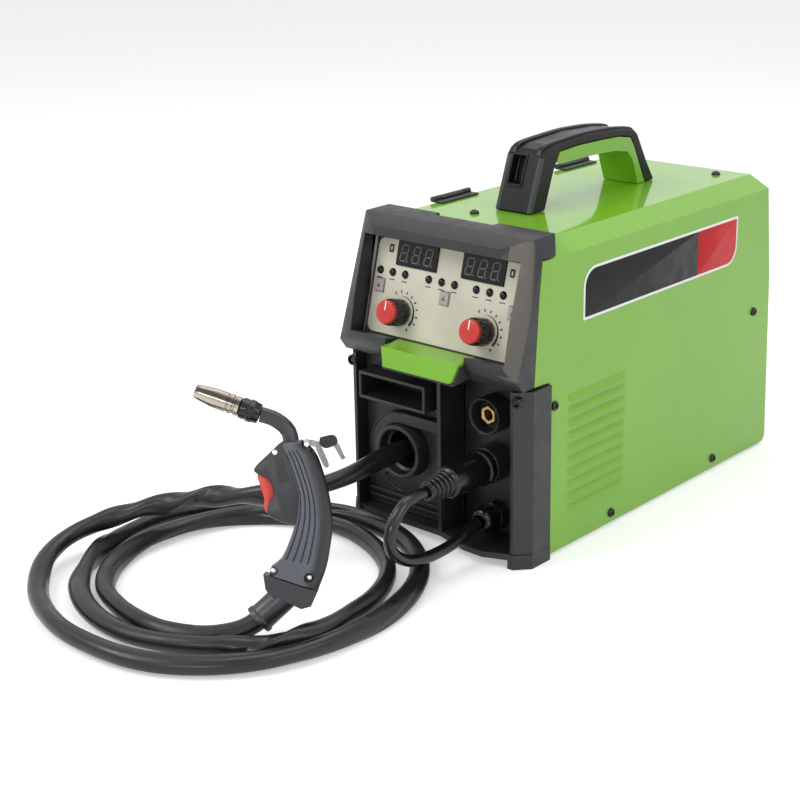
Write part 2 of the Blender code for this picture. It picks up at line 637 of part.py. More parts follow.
def make_fan(shop):
    frame = box(FAN + Vector((-40, -13, -40)), FAN + Vector((40, 12, 40)))
    housing = shop.part("fan_frame", frame, "black_plastic")
    shop.cut(housing, rod(FAN + Vector((0, -30, 0)), FAN + Vector((0, 30, 0)), 37.5), "bore")
    shop.join(housing, rod(FAN + Vector((0, -13, 0)), FAN + Vector((0, -10, 0)), 15.0), "mount")
    bars = [box(FAN + Vector((-39, -13, -1.5)), FAN + Vector((39, -10, 1.5))),
            box(FAN + Vector((-1.5, -13, -39)), FAN + Vector((1.5, -10, 39)))]
    for number, bar in enumerate(bars):
        shop.join(housing, bar, f"bar_{number}")
    rotor = shop.part("fan_rotor", rod(FAN + Vector((0, -9.6, 0)), FAN + Vector((0, 9, 0)), 16.0),
                      "black_plastic", pivot=FAN)
    blade = []
    for number in range(7):
        shape = box((12, -7, -0.8), (35.5, 7, 0.8))
        turn = Matrix.Rotation(math.tau * number / 7, 4, "Y")
        tilt = Matrix.Rotation(math.radians(38), 4, "X")
        blade.append(moved(shape, Matrix.Translation(FAN) @ turn @ tilt))
    for number, shape in enumerate(blade):
        shop.join(rotor, shape, f"blade_{number}")


def make_fan_guard(shop):
    """Wire finger guard over the rear opening."""
    guard = None
    place = Matrix.Translation((FAN.x, 180.3, FAN.z)) @ Matrix.Rotation(REAR_LEAN, 4, "X")
    for number, radius in enumerate((11, 24, 37)):
        ring = turned([(radius - 0.9, -0.8), (radius + 0.9, -0.8), (radius + 0.9, 1.1),
                       (radius - 0.9, 1.1)], (0, 0, 0), (0, 1, 0), sides=20, closed=True)
        if guard is None:
            guard = shop.part("fan_guard", moved(ring, place), "steel")
        else:
            shop.join(guard, moved(ring, place), f"ring_{number}")
    for number in range(2):
        turn = place @ Matrix.Rotation(math.pi * (0.25 + number / 2), 4, "Y")
        depth = 1.3 + 0.1 * number
        shop.join(guard, moved(box((-42, -0.9, -0.9), (42, depth, 0.9)), turn), f"spoke_{number}")


def make_rear_fittings(shop):
    switch = box((-57.7, 164, 194.8), (-34.3, 176.0, 213.2))
    housing = shop.part("power_switch_housing", switch, "black_plastic")
    shop.cut(housing, box((-55.2, 168, 196.6), (-36.8, 190, 211.4)), "well")
    rocker = hull([(x, y, z) for x in (-54.9, -37.1)
                   for y, z in ((169.2, 204), (174.5, 199), (178.2, 199), (175.4, 204),
                                (174.5, 209), (176.4, 209))])
    shop.part("power_rocker", rocker, "red_plastic", pivot=ROCKER_AXIS)
    gland = turned([(6, -6), (9, -6), (9, 3.6), (13, 3.6), (13, 10), (10, 17), (6, 17)],
                   (-46, 181.0, 60), (0, 1, 0), sides=20, closed=True)
    shop.part("mains_gland", gland, "black_plastic")
    inlet = turned([(2, -6), (5, -6), (5, 3.0), (7.5, 3.0), (7.5, 8.0), (4.2, 8.0), (4.2, 22.0),
                    (2, 22.0)], (-46, 178.8, 110), (0, 1, 0), sides=16, closed=True)
    shop.part("gas_inlet", inlet, "brass")


def make_electronics(shop):
    sink = shop.part("heatsink", box((12, -20, 90), (66, 120, 96)), "aluminium")
    fins = gathered([box((x, -20, 94), (x + 2, 120, 190)) for x in range(12, 66, 6)])
    shop.join(sink, fins, "fins")
    board = box((74, -110, 30), (76, 130, 230))
    shop.part("main_board", board, "green_board")
    coil = turned([(16, -14), (34, -14), (34, 14), (16, 14)], (32, 60, 40), (1, 0, 0), sides=24,
                  closed=True)
    shop.part("transformer", coil, "copper")


# ---------------------------------------------------------------- wire feed

def make_spool(shop):
    flange, hub, half = SPOOL_RADIUS, 26.0, 26.0
    profile = [(hub, -half), (flange, -half), (flange, -half + 3), (60, -half + 3),
               (60, half - 3), (flange, half - 3), (flange, half), (hub, half)]
    spool = turned(profile, SPOOL_CENTRE, (1, 0, 0), sides=32, closed=True)
    shop.part("wire_spool", spool, "black_plastic", pivot=SPOOL_CENTRE)
    y, z = SPOOL_CENTRE.yz
    hub_shape = turned([(0, 0), (30, 0), (30, 2.5), (25.4, 2.5), (25.4, 52), (22, 54), (0, 54)],
                       (DIVIDER_X - GAP, y, z), (-1, 0, 0), sides=24)
    shop.part("spool_hub", hub_shape, "black_plastic")


def make_feeder(shop):
    y, z = DRIVE_ROLL.yz
    plate = box((-16, -135, 38), (DIVIDER_X - GAP, -58, 100))
    feeder = shop.part("feeder_plate", plate, "aluminium")
    shop.cut(feeder, rod((-30, y, z), (0, y, z), 5.0), "shaft_hole")
    guide_z = 70.0
    blocks = gathered([box((-42, -135, guide_z - 7), (-15, -121, guide_z + 7)),
                       box((-42, -66, guide_z - 7), (-15, -58, guide_z + 7))])
    shop.join(feeder, blocks, "guides")
    shop.cut(feeder, rod((-36, -150, guide_z), (-36, -50, guide_z), 2.5, sides=12), "wire_way")
    shop.part("feed_motor", rod((DIVIDER_X + 1.8, y, z), (46, y, z), 18.0), "steel")
    roll = turned([(0, -40), (4.4, -40), (4.4, -33.4), (12, -33.4), (12, -28.6), (11.4, -28),
                   (11.4, -27.6), (12, -27), (12, -24), (4.4, -24), (4.4, 1.5), (0, 1.5)],
                  (DIVIDER_X, y, z), (1, 0, 0), sides=16)
    shop.part("drive_roll", roll, "steel", pivot=DRIVE_ROLL)


def make_pressure_arm(shop):
    y, z = PRESSURE_ROLL.yz
    arm = prism([(ARM_AXIS[1] - 5, ARM_AXIS[2] - 5), (ARM_AXIS[1] + 5, ARM_AXIS[2] - 5),
                 (ARM_AXIS[1] + 5, ARM_AXIS[2] + 5), (y + 8, z + 18), (-130, z + 18),
                 (-130, z + 10), (y - 8, z + 8), (y - 8, z - 8), (y + 8, z - 8)],
                -29.0, -22.0, "X")
    part = shop.part("pressure_arm", arm, "black_plastic", pivot=ARM_AXIS)
    shop.join(part, rod((-23, *ARM_AXIS[1:]), (-17.0, *ARM_AXIS[1:]), 4.0, sides=16), "pin")
    shop.join(part, rod((-41, y, z), (-28, y, z), 2.6, sides=16), "axle")
    bearing = turned([(3.0, -4), (11.4, -4), (11.4, 4), (3.0, 4)], PRESSURE_ROLL, (1, 0, 0),
                     sides=24, closed=True)
    shop.part("pressure_roll", bearing, "steel", pivot=PRESSURE_ROLL)


ARM_AXIS = (-25.5, -72.0, 92.0)


# ---------------------------------------------------------------- torch

def torch_frame():
    turn = Matrix.Rotation(TORCH_TURN, 4, "Z") @ Matrix.Rotation(-TORCH_LEAN, 4, "X")
    return Matrix.Translation(TORCH_FOOT) @ turn


TORCH = torch_frame()
TAIL_START = Vector((31.5, 0.0, 30.2))
TAIL_WAY = Vector((-0.749, 0.0, -0.663))
TAIL_LENGTH = 33.0
SHELL_HALF = 12.5
SHELL_OUTLINE = [(15.2, 41.9), (16.7, 47.8), (21.9, 51.6), (26.2, 52.4), (29.8, 65.7),
                 (31.5, 77.2), (17.0, 83.0), (16.4, 93.0), (20.8, 98.4), (16.5, 109.5),
                 (8.6, 113.8), (7.0, 118.1), (17.0, 127.8), (27.5, 137.2), (38.0, 138.2),
                 (46.5, 133.2), (52.2, 124.6), (57.6, 107.4), (61.2, 87.3), (61.4, 72.9),
                 (59.4, 58.6), (56.2, 44.2), (50.6, 29.6)]


def make_torch_shells(shop):
    for name, y0, y1 in (("torch_shell_left", GAP / 2, SHELL_HALF),
                         ("torch_shell_right", -SHELL_HALF, -GAP / 2)):
        shell = shop.part(name, moved(prism(SHELL_OUTLINE, y0, y1, "Y"), TORCH), "black_plastic")
        slot = moved(hull([(x, y, z) for y in (-5.0, 5.0)
                           for x, z in ((-5, 82), (23, 82), (25, 99), (20, 116), (13, 118),
                                        (-5, 116))]), TORCH)
        shop.cut(shell, slot, "trigger_slot")
        neck_hole = moved(rod((33, 0, 110), (33, 0, 150), NECK_RADIUS + 0.4), TORCH)
        shop.cut(shell, neck_hole, "neck_hole")


def make_torch_trigger(shop):
    shape = hull([(x, y, z) for y in (-4.4, 4.4)
                  for x, z in ((8.4, 112.6), (7.6, 106.0), (11.6, 95.0), (12.6, 88.0), (15.2, 85.6),
                               (19.0, 86.0), (22.0, 99.0), (18.0, 110.5), (13.0, 115.0))])
    shop.part("torch_trigger", moved(shape, TORCH), "red_plastic",
              pivot=TORCH @ Vector((15.4, 0, 111.5)))


def tube(name, points, radius, resolution):
    """A round tube along points in millimetres, as a closed mesh in metres."""
    curve = bpy.data.curves.new(name, "CURVE")
    curve.dimensions = "3D"
    curve.bevel_depth = radius * MM
    curve.bevel_resolution = resolution
    curve.use_fill_caps = True
    spline = curve.splines.new("POLY")
    spline.points.add(len(points) - 1)
    for spot, point in zip(spline.points, points):
        spot.co = (*(Vector(point) * MM), 1.0)
    guide = bpy.data.objects.new(name, curve)
    bpy.context.scene.collection.objects.link(guide)
    bpy.context.view_layer.update()
    seen = guide.evaluated_get(bpy.context.evaluated_depsgraph_get())
    bm = bmesh.new()
    bm.from_mesh(bpy.data.meshes.new_from_object(seen))
    bmesh.ops.remove_doubles(bm, verts=bm.verts, dist=0.00001)
    bmesh.ops.recalc_face_normals(bm, faces=bm.faces)
    bpy.data.objects.remove(guide, do_unlink=True)
    bm.transform(Matrix.Diagonal((1 / MM, 1 / MM, 1 / MM, 1.0)))
    return bm


def smooth_route(points, spacing):
    """Evenly spaced points on a smooth curve through the route's points."""
    spots = [Vector(point) for point in points]
    ends = [2 * spots[0] - spots[1]] + spots + [2 * spots[-1] - spots[-2]]
    fine = [spots[0]]
    for before, start, end, after in zip(ends, ends[1:], ends[2:], ends[3:]):
        first = start + (end - before) / 6
        second = end - (after - start) / 6
        fine += interpolate_bezier(start, first, second, end, 12)[1:]
    length = sum((b - a).length for a, b in zip(fine, fine[1:]))
    count = max(2, round(length / spacing))
    even, walked, target = [fine[0]], 0.0, length / count
    for a, b in zip(fine, fine[1:]):
        step = (b - a).length
        while walked + step >= target * len(even) and len(even) < count:
            even.append(a.lerp(b, (target * len(even) - walked) / step))
        walked += step
    return even + [fine[-1]]


NECK_RADIUS = 5.9


def make_torch_metal(shop):
    """Swan neck, collar, gas nozzle and contact tip."""
    neck_route = smooth_route([(33, 0, 112), (33, 0, 135), (30.4, 0, 145), (21.5, 0, 152.6),
                               (11.5, 0, 156.2)], 4.0)
    neck = tube("torch_neck", neck_route, NECK_RADIUS, 3)
    shop.part("torch_neck", moved(neck, TORCH), "black_plastic")
    along = Vector((-0.933, 0, 0.358))
    start = Vector((10.9, 0, 156.4))
    collar = turned([(0, GAP), (6.6, GAP), (8.0, 4.0), (8.0, 15.0), (0, 15.0)], start, along)
    shop.part("torch_collar", moved(collar, TORCH), "black_plastic")
    nozzle = turned([(0, 15.3), (6.9, 15.3), (6.9, 37.0), (4.6, 49.5), (3.6, 49.5), (3.6, 32.0),
                     (0, 32.0)], start, along)
    shop.part("torch_nozzle", moved(nozzle, TORCH), "nickel")
    tip = turned([(0, 32.3), (3.0, 32.3), (3.0, 44.0), (1.6, 48.5), (0, 48.5)], start, along,
                 sides=16)
    shop.part("contact_tip", moved(tip, TORCH), "copper")


HOOK_LINE = [(51.9, 133.6), (54.4, 136.9), (63.2, 137.7), (66.4, 133.4), (70.0, 124.4)]
HOOK_BRANCH = [(54.0, 135.6), (53.6, 127.2), (58.6, 119.2)]


def ribbon(line, thickness):
    """A closed outline that follows a bent line at an even thickness."""
    spots = [Vector(point) for point in line]
    left, right = [], []
    for before, spot, after in zip(spots[:1] + spots, spots, spots[1:] + spots[-1:]):
        square = (after - before).normalized().orthogonal() * thickness / 2
        left.append(tuple(spot + square))
        right.append(tuple(spot - square))
    return left + right[::-1]


def make_torch_tail(shop):
    """Foot moulding of the handle, the strain relief round the cable, and the hanging hook."""
    shape = hull([(x, y, z) for y in (-12.0, 12.0)
                  for x, z in ((11.9, 42.3), (13.3, 31.5), (15.2, 28.5), (38.5, 16.9),
                               (45.5, 18.6), (50.3, 28.9))])
    flange = shop.part("torch_flange", moved(shape, TORCH), "black_plastic")
    seat = rod(TAIL_START, TAIL_START + 40 * TAIL_WAY, 10.6)
    shop.cut(flange, moved(seat, TORCH), "tail_seat")
    end = TAIL_LENGTH
    sleeve = turned([(0, GAP), (10.2, GAP), (10.2, end - 4.4), (11.2, end - 3.4), (11.2, end),
                     (0, end)], TAIL_START, TAIL_WAY)
    shop.part("torch_strain_relief", moved(sleeve, TORCH), "rubber")
    hook = moved(prism(ribbon(HOOK_LINE, 1.6), -5.0, 5.0, "Y"), TORCH)
    made = shop.part("torch_hook", hook, "steel")
    shop.join(made, moved(prism(ribbon(HOOK_BRANCH, 1.6), -4.4, 4.4, "Y"), TORCH), "branch")


# ---------------------------------------------------------------- leads

def make_polarity_plug(shop):
    """Bayonet plug in the lower socket, with a ribbed sleeve round the lead."""
    profile = [(0, GAP), (14.8, GAP), (14.8, 6), (13.2, 8), (13.2, 44), (12.0, 46), (10.0, 47)]
    for step in range(5):
        along = 48.0 + step * 4.4
        size = 9.6 - step * 0.6
        profile += [(size + 1.2, along), (size + 1.2, along + 2.0), (size, along + 2.6)]
    profile += [(7.0, 70.5), (0, 70.5)]
    shape = turned(profile, (SOCKET_X, SOCKET_WALL_Y - 18.0, SOCKET_HEIGHTS[1]), (0, -1, 0),
                   sides=16)
    shop.part("polarity_plug", shape, "black_plastic")


def make_leads(shop):
    lead = smooth_route(LEAD_ROUTE, 14.0)
    shop.part("polarity_lead", tube("polarity_lead", lead, LEAD_RADIUS, 3), "cord_sheath")
    tail = TORCH @ (TAIL_START + (TAIL_LENGTH + 4.0) * TAIL_WAY)
    hose = smooth_route(HOSE_ROUTE + [tuple(tail)], 30.0)
    shop.part("torch_cable", tube("torch_cable", hose, HOSE_RADIUS, 2), "cord_sheath")


LEAD_RADIUS = 4.8
LEAD_ROUTE = [(45, -241.2, 74), (45, -250, 74.5), (45, -266, 71), (45, -280, 56), (45, -280, 40),
              (45, -264, 26), (45, -240, 20), (45, -213, 20), (45, -190, 25), (45, -176.8, 28)]
HOSE_RADIUS = 7.6
HOSE_ROUTE = [
    (-36, -152, 70), (-36, -185, 70), (-36, -215, 69), (-38, -240, 66.5), (-46, -262, 63.5),
    (-62, -280, 59.5), (-86, -292, 54), (-116, -300, 48), (-146, -311, 41), (-174, -329, 33),
    (-195, -356, 26), (-204, -390, 19.3), (-192, -425, 13), (-156, -458, 8), (-107, -479, 8),
    (-57, -483, 8), (-15, -476, 8), (21, -455, 8), (51, -421, 8), (68, -376, 8), (71, -322, 8),
    (57, -271, 8), (31, -233, 8), (-10, -206, 8), (-59, -198, 8), (-106, -205, 8),
    (-155, -231, 8), (-186, -274, 8), (-196, -324, 8), (-184, -376, 8), (-152, -422, 8),
    (-106, -449, 8), (-56, -456, 8), (-11, -443, 8), (26, -416, 8), (48, -380, 8), (50, -336, 8),
    (43, -296, 8), (22, -260, 8), (-13, -234, 8), (-58, -221, 8), (-107, -227, 8),
    (-143, -252, 8), (-166, -290, 8), (-172, -337, 8), (-157, -383, 8), (-127, -417, 8),
    (-88, -433, 8), (-48, -438, 8), (-24, -433, 8), (-5, -421, 8), (9, -404, 10.2),
]


def build():
    clear_scene()
    shop = Shop()
    make_cover(shop)
    make_side_door(shop)
    make_door_latch(shop)
    make_door_hinges(shop)
    make_base_tray(shop)
    make_rear_panel(shop)
    make_divider(shop)
    make_rear_feet(shop)
    make_front_bezel(shop)
    make_control_panel(shop)
    make_display_board(shop)
    make_buttons(shop)
    make_knobs(shop)
    make_accent_trim(shop)
    make_front_frame(shop)
    make_port_housing(shop)
    make_port_ring(shop)
    make_pocket(shop)
    make_socket_panel(shop)
    make_sockets(shop)
    make_gland(shop)
    make_handle(shop)
    make_fan(shop)
    make_fan_guard(shop)
    make_rear_fittings(shop)
    make_electronics(shop)
    make_spool(shop)
    make_feeder(shop)
    make_pressure_arm(shop)
    make_torch_shells(shop)
    make_torch_trigger(shop)
    make_torch_metal(shop)
    make_torch_tail(shop)
    make_polarity_plug(shop)
    make_leads(shop)


build()
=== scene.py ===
"""Looks of the compact MIG welder: case, control head, torch, cords, stage and camera.

Every length below is in millimetres in the machine's own frame unless a property says
otherwise; MM turns it into metres where it reaches a mesh.
"""

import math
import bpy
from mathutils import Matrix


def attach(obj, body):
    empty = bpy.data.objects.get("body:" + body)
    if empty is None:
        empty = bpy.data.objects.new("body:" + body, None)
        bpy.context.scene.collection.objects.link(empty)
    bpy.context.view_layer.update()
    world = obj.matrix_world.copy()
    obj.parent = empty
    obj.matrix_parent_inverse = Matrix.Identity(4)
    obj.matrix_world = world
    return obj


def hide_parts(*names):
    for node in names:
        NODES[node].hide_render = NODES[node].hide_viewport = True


bl_info = {
    "name": "Compact MIG Welder",
    "version": (1, 0, 0),
    "blender": (4, 5, 0),
    "location": "3D View > Sidebar > Welder",
    "description": "Builds the finished surfaces, materials and stage of a compact MIG welder",
    "category": "Add Mesh",
}

import bpy
import numpy as np
from mathutils import Matrix, Vector

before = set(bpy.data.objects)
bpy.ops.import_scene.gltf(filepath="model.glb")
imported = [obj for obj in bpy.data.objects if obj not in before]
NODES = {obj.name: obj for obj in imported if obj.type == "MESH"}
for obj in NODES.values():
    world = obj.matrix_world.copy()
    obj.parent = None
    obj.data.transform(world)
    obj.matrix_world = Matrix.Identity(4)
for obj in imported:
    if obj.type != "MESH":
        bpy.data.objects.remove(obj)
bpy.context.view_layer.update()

MM = 0.001
ROOT = "machine"

# Case and head, as the construction has them
HALF_WIDTH = 91.5
CASE_TOP = 255.0
HEAD_TOP = np.array([0.0, -160.6, 260.8])
HEAD_KNEE = np.array([0.0, -187.8, 157.6])
PANEL_FACE = -13.35
PORT = np.array([-36.0, -182.0, 70.0])
WALL_Y = -170.0
POST_SIDE = 10.5
PANEL_HALF = 78.0
SOCKET_X = 45.0
SOCKET_WALL_Y = -152.0
SOCKET_HEIGHTS = (115.5, 74.0)
GLAND_Z = 28.0
KNOB_XS = (-43.0, 43.0)
KNOB_DOWN = 76.3
BUTTON_XS = (-69.0, -0.5, 68.0)
BUTTON_DOWN = 57.6
LAMP_GROUPS = (-57.5, -6.0, 42.5)
LAMP_PITCH = 13.3
LAMP_DOWN = 45.6
DISPLAY_SPANS = ((-54.8, -13.0), (13.0, 54.8))
DISPLAY_DOWN = (18.5, 39.0)

# Torch: its own frame stands on the floor at the cable end
TORCH_FOOT = (12.9, -398.1, 8.0)
TORCH_TURN = math.radians(42.2)
TORCH_LEAN = math.radians(20.0)

# Camera of the view
CAMERA_PLACE = (813.22, -1113.59, 555.53)
CAMERA_RIGHT = (0.74478807, 0.66703652, -0.01878852)
CAMERA_UP = (-0.20696525, 0.25767399, 0.94380586)
CAMERA_BACK = (0.63439428, -0.69904678, 0.3299659)
CAMERA_LENS = 74.418

# Cords: the ways they take, and their diameters. The cable's sheath is wrung on the stretches
# of WRUNG: start and end along the way, and the turn. Its tail lies in the torch's own frame
LEAD_ROUTE = [(45, -241.2, 74), (45, -250, 74.5), (45, -266, 71), (45, -280, 56), (45, -280, 40),
              (45, -264, 26), (45, -240, 20), (45, -213, 20), (45, -190, 25), (45, -176.8, 28)]
CABLE_ROUTE = [
    (-36, -152, 70), (-36, -185, 70), (-36, -215, 69), (-38, -240, 66.5), (-46, -262, 63.5),
    (-62, -280, 59.5), (-86, -292, 54), (-116, -300, 48), (-146, -311, 41), (-174, -329, 33),
    (-195, -356, 26), (-204, -390, 19.3), (-192, -425, 13), (-156, -458, 8), (-107, -479, 8),
    (-57, -483, 8), (-15, -476, 8), (21, -455, 8), (51, -421, 8), (68, -376, 8), (71, -322, 8),
    (57, -271, 8), (31, -233, 8), (-10, -206, 8), (-59, -198, 8), (-106, -205, 8),
    (-155, -231, 8), (-186, -274, 8), (-196, -324, 8), (-184, -376, 8), (-152, -422, 8),
    (-106, -449, 8), (-56, -456, 8), (-11, -443, 8), (26, -416, 8), (48, -380, 8), (50, -336, 8),
    (43, -296, 8), (22, -260, 8), (-13, -234, 8), (-58, -221, 8), (-107, -227, 8),
    (-143, -252, 8), (-166, -290, 8), (-172, -337, 8), (-157, -383, 8), (-127, -417, 8),
    (-88, -433, 8), (-48, -438, 8), (-24, -433, 8), (-5, -421, 8), (9, -404, 10.2),
]
CABLE_DIAMETER = 15.2
LEAD_DIAMETER = 9.6
WRUNG = ((130.0, 310.0, 11.0), (1180.0, 1290.0, 4.0), (1450.0, 1570.0, 6.0))
TAIL_START = (31.5, 0.0, 30.2)
TAIL_WAY = (-0.749, 0.0, -0.663)
TAIL_LENGTH = 33.0


# ---------------------------------------------------------------- user's settings

class WelderColours(bpy.types.PropertyGroup):
    """Paint and plastic colours."""
    paint: bpy.props.FloatVectorProperty(
        name="Paint", description="Colour of the sheet-metal case", subtype="COLOR",
        default=(0.168, 0.41, 0.010), min=0.0, max=1.0)
    plastic: bpy.props.FloatVectorProperty(
        name="Plastic", description="Colour of the moulded plastic", subtype="COLOR",
        default=(0.009, 0.0095, 0.0115), min=0.0, max=1.0)
    panel: bpy.props.FloatVectorProperty(
        name="Panel", description="Colour of the control panel", subtype="COLOR",
        default=(0.52, 0.50, 0.40), min=0.0, max=1.0)
    accent: bpy.props.FloatVectorProperty(
        name="Accent", description="Colour of the knob caps and the rocker", subtype="COLOR",
        default=(0.52, 0.034, 0.022), min=0.0, max=1.0)


class WelderSizes(bpy.types.PropertyGroup):
    """Sizes that only the looks need."""
    paint_grain: bpy.props.FloatProperty(
        name="Paint Grain", description="Repeats per metre of the orange peel in the paint",
        default=900.0, min=1.0, max=5000.0)
    plastic_grain: bpy.props.FloatProperty(
        name="Plastic Grain", description="Repeats per metre of the moulded texture",
        default=1800.0, min=1.0, max=8000.0)


# ---------------------------------------------------------------- surfaces

# Finishes by plain name, filled in by mix_materials
MATERIALS = {}


def around(count):
    """Even angles of one full turn."""
    return np.linspace(0, math.tau, count, endpoint=False)


def directions(angles):
    """The unit step (cosine, sine) at each angle."""
    return np.stack([np.cos(angles), np.sin(angles)], -1)


def grid_faces(rows, columns, ring=False):
    """Faces of a grid whose last column joins its first: one face across each end row, or,
    for a ring, a last row that joins the first."""
    i = np.arange(rows if ring else rows - 1)[:, None]
    j = np.arange(columns)[None, :]
    here, below, right = i * columns, (i + 1) % rows * columns, (j + 1) % columns
    quads = np.stack([here + j, here + right, below + right, below + j], -1)
    faces = quads.reshape(-1, 4).tolist()
    if not ring:
        faces += [list(range(columns))[::-1], list(range((rows - 1) * columns, rows * columns))]
    return faces


def surface(name, points, finish, body=ROOT, ring=False, smooth=40.0):
    """A piece from a grid of points, closed as in grid_faces."""
    faces = grid_faces(*points.shape[:2], ring)
    return mesh_piece(name, points.reshape(-1, 3), faces, finish, body, smooth)


def mesh_piece(name, points, faces, finish, body=ROOT, smooth=40.0):
    """An object at the origin from points in millimetres and faces, riding on a body."""
    mesh = bpy.data.meshes.new(name)
    mesh.from_pydata((points * MM).tolist(), [], faces)
    mesh.validate()
    point_outwards(mesh)
    mesh.shade_smooth()
    mesh.set_sharp_from_angle(angle=math.radians(smooth))
    mesh.materials.append(MATERIALS[finish])
    made = bpy.data.objects.new(name, mesh)
    bpy.context.scene.collection.objects.link(made)
    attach(made, body)
    return made


def point_outwards(mesh):
    """Turns every face round if the signed volume, the sum of corner products, is negative."""
    mesh.calc_loop_triangles()
    corners = np.empty(len(mesh.loop_triangles) * 3, np.int32)
    mesh.loop_triangles.foreach_get("vertices", corners)
    spots = np.empty(len(mesh.vertices) * 3)
    mesh.vertices.foreach_get("co", spots)
    a, b, c = spots.reshape(-1, 3)[corners.reshape(-1, 3)].transpose(1, 0, 2)
    if np.einsum("ij,ij->i", a, np.cross(b, c)).sum() < 0:
        mesh.flip_normals()


def joined(parts):
    """Points and faces of several (points, faces) shapes as one."""
    points, faces, start = [], [], 0
    for shape_points, shape_faces in parts:
        points.append(shape_points)
        faces += [[start + k for k in face] for face in shape_faces]
        start += len(shape_points)
    return np.concatenate(points), faces


def placed(points, matrix):
    """The points, in any grid, carried by a 4x4 matrix."""
    return np.asarray(points, float) @ matrix[:3, :3].T + matrix[:3, 3]


def smooth_line(points, spacing):
    """Evenly spaced points on the cubic through the points, whose tangent at each point is
    half the step between its neighbours."""
    p = np.asarray(points, float)
    ends = np.vstack([2 * p[0] - p[1], p, 2 * p[-1] - p[-2]])
    t = np.linspace(0, 1, 24, endpoint=False)[None, :, None]
    p0, p1 = ends[1:-2][:, None], ends[2:-1][:, None]
    m0, m1 = ((ends[2:-1] - ends[:-3]) / 2)[:, None], ((ends[3:] - ends[1:-2]) / 2)[:, None]
    fine = ((2 * t**3 - 3 * t**2 + 1) * p0 + (t**3 - 2 * t**2 + t) * m0
            + (-2 * t**3 + 3 * t**2) * p1 + (t**3 - t**2) * m1).reshape(-1, 3)
    fine = np.vstack([fine, p[-1]])
    walked = distances(fine)
    count = max(2, int(round(walked[-1] / spacing)) + 1)
    even = np.linspace(0, walked[-1], count)
    return np.stack([np.interp(even, walked, fine[:, k]) for k in range(3)], -1)


def distances(points):
    """How far along a line of points each one lies."""
    steps = np.linalg.norm(np.diff(points, axis=0), axis=1)
    return np.concatenate([[0], np.cumsum(steps)])


def frames(path, reference):
    """Tangent, side and top directions along a path; side is square to the reference."""
    tangent = np.gradient(path, axis=0)
    tangent /= np.linalg.norm(tangent, axis=1, keepdims=True)
    side = np.cross(tangent, np.broadcast_to(reference, tangent.shape))
    side /= np.linalg.norm(side, axis=1, keepdims=True)
    return tangent, side, np.cross(side, tangent)


def tube_points(path, radius, reference, sides):
    """Rings of the given radius, a number or one value per ring and angle, round a path."""
    _, side, top = frames(path, reference)
    angle = around(sides)[None, :, None]
    radius = np.broadcast_to(radius, (len(path), sides))[..., None]
    return path[:, None] + radius * (np.cos(angle) * side[:, None] + np.sin(angle) * top[:, None])


def axis_frame(centre, axis):
    """Matrix whose Z runs along an axis through a centre."""
    turn = Vector(axis).to_track_quat("Z", "Y").to_matrix().to_4x4()
    return np.array(Matrix.Translation(Vector(centre)) @ turn)


def turned_points(profile, centre, axis, sides, ripple=None):
    """A profile of (radius, along) turned round an axis; ripple adds to the radius by angle
    and by distance along."""
    profile = np.asarray(profile, float)
    angle = around(sides)[None, :]
    radius, along = np.repeat(profile[:, :1], sides, 1), np.repeat(profile[:, 1:], sides, 1)
    if ripple is not None:
        radius = radius + ripple(angle, along) * (radius > 0)
    flat = np.stack([radius * np.cos(angle), radius * np.sin(angle), along], -1)
    return placed(flat, axis_frame(centre, axis))


def turned(name, profile, centre, axis, finish, sides, body=ROOT, ripple=None, hollow=False):
    """A turned piece; a hollow one has a profile that runs back to its start."""
    points = turned_points(profile, centre, axis, sides, ripple)
    return surface(name, points, finish, body, ring=hollow)


def circle(radius, count, x, y):
    """Even points of a circle: its middle plus the radius times each unit step."""
    return directions(around(count)) * radius + (x, y)


def rounded_rectangle(x0, x1, y0, y1, radius, steps=5):
    """Corner arcs of one radius, going round a rectangle."""
    turn = np.radians(np.linspace(0, 90, steps) + [[0], [90], [180], [270]])
    x0, x1, y0, y1 = x0 + radius, x1 - radius, y0 + radius, y1 - radius
    centres = np.array([(x1, y1), (x0, y1), (x0, y0), (x1, y0)])[:, None]
    return (centres + radius * directions(turn)).reshape(-1, 2)


def outward(outline):
    """Unit directions square to a closed outline at each point, pointing out of it."""
    ahead = np.roll(outline, -1, 0) - np.roll(outline, 1, 0)
    ahead /= np.linalg.norm(ahead, axis=1, keepdims=True)
    return np.stack([ahead[:, 1], -ahead[:, 0]], -1)


def slab_points(outline, low, high, rounding, steps=3):
    """A flat outline given thickness, its rim rolled over in quarter circles."""
    outline = np.asarray(outline, float)
    turn = np.linspace(0, math.pi / 2, steps)
    rise, run = rounding * (1 - np.sin(turn)), rounding * (1 - np.cos(turn))
    inset = np.concatenate([rise, run])
    height = np.concatenate([low + run, high - rise])
    flat = outline[None] - inset[:, None, None] * outward(outline)[None]
    return np.concatenate([flat, np.repeat(height[:, None, None], len(outline), 1)], -1)


def slab(name, outline, low, high, place, finish, rounding, body=ROOT):
    """A piece from a flat outline given thickness as in slab_points, carried into its place."""
    return surface(name, placed(slab_points(outline, low, high, rounding), place), finish, body)


def flat_mark(outline, low, high, place):
    """Points and faces of a thin slab, to be joined with others."""
    points = slab_points(outline, low, high, 0.02, 2)
    return placed(points, place).reshape(-1, 3), grid_faces(*points.shape[:2])


def ring_grid(outer, inner, low, high, place, rounding):
    """A flat ring between two outlines of as many points, its upper edges rolled over."""
    out, into = outward(outer), outward(inner)
    rows = [(outer, low), (outer, high - rounding), (outer - rounding * out, high),
            (inner + rounding * into, high), (inner, high - rounding), (inner, low)]
    points = [np.column_stack([line, np.full(len(line), level)]) for line, level in rows]
    return placed(np.stack(points), place)


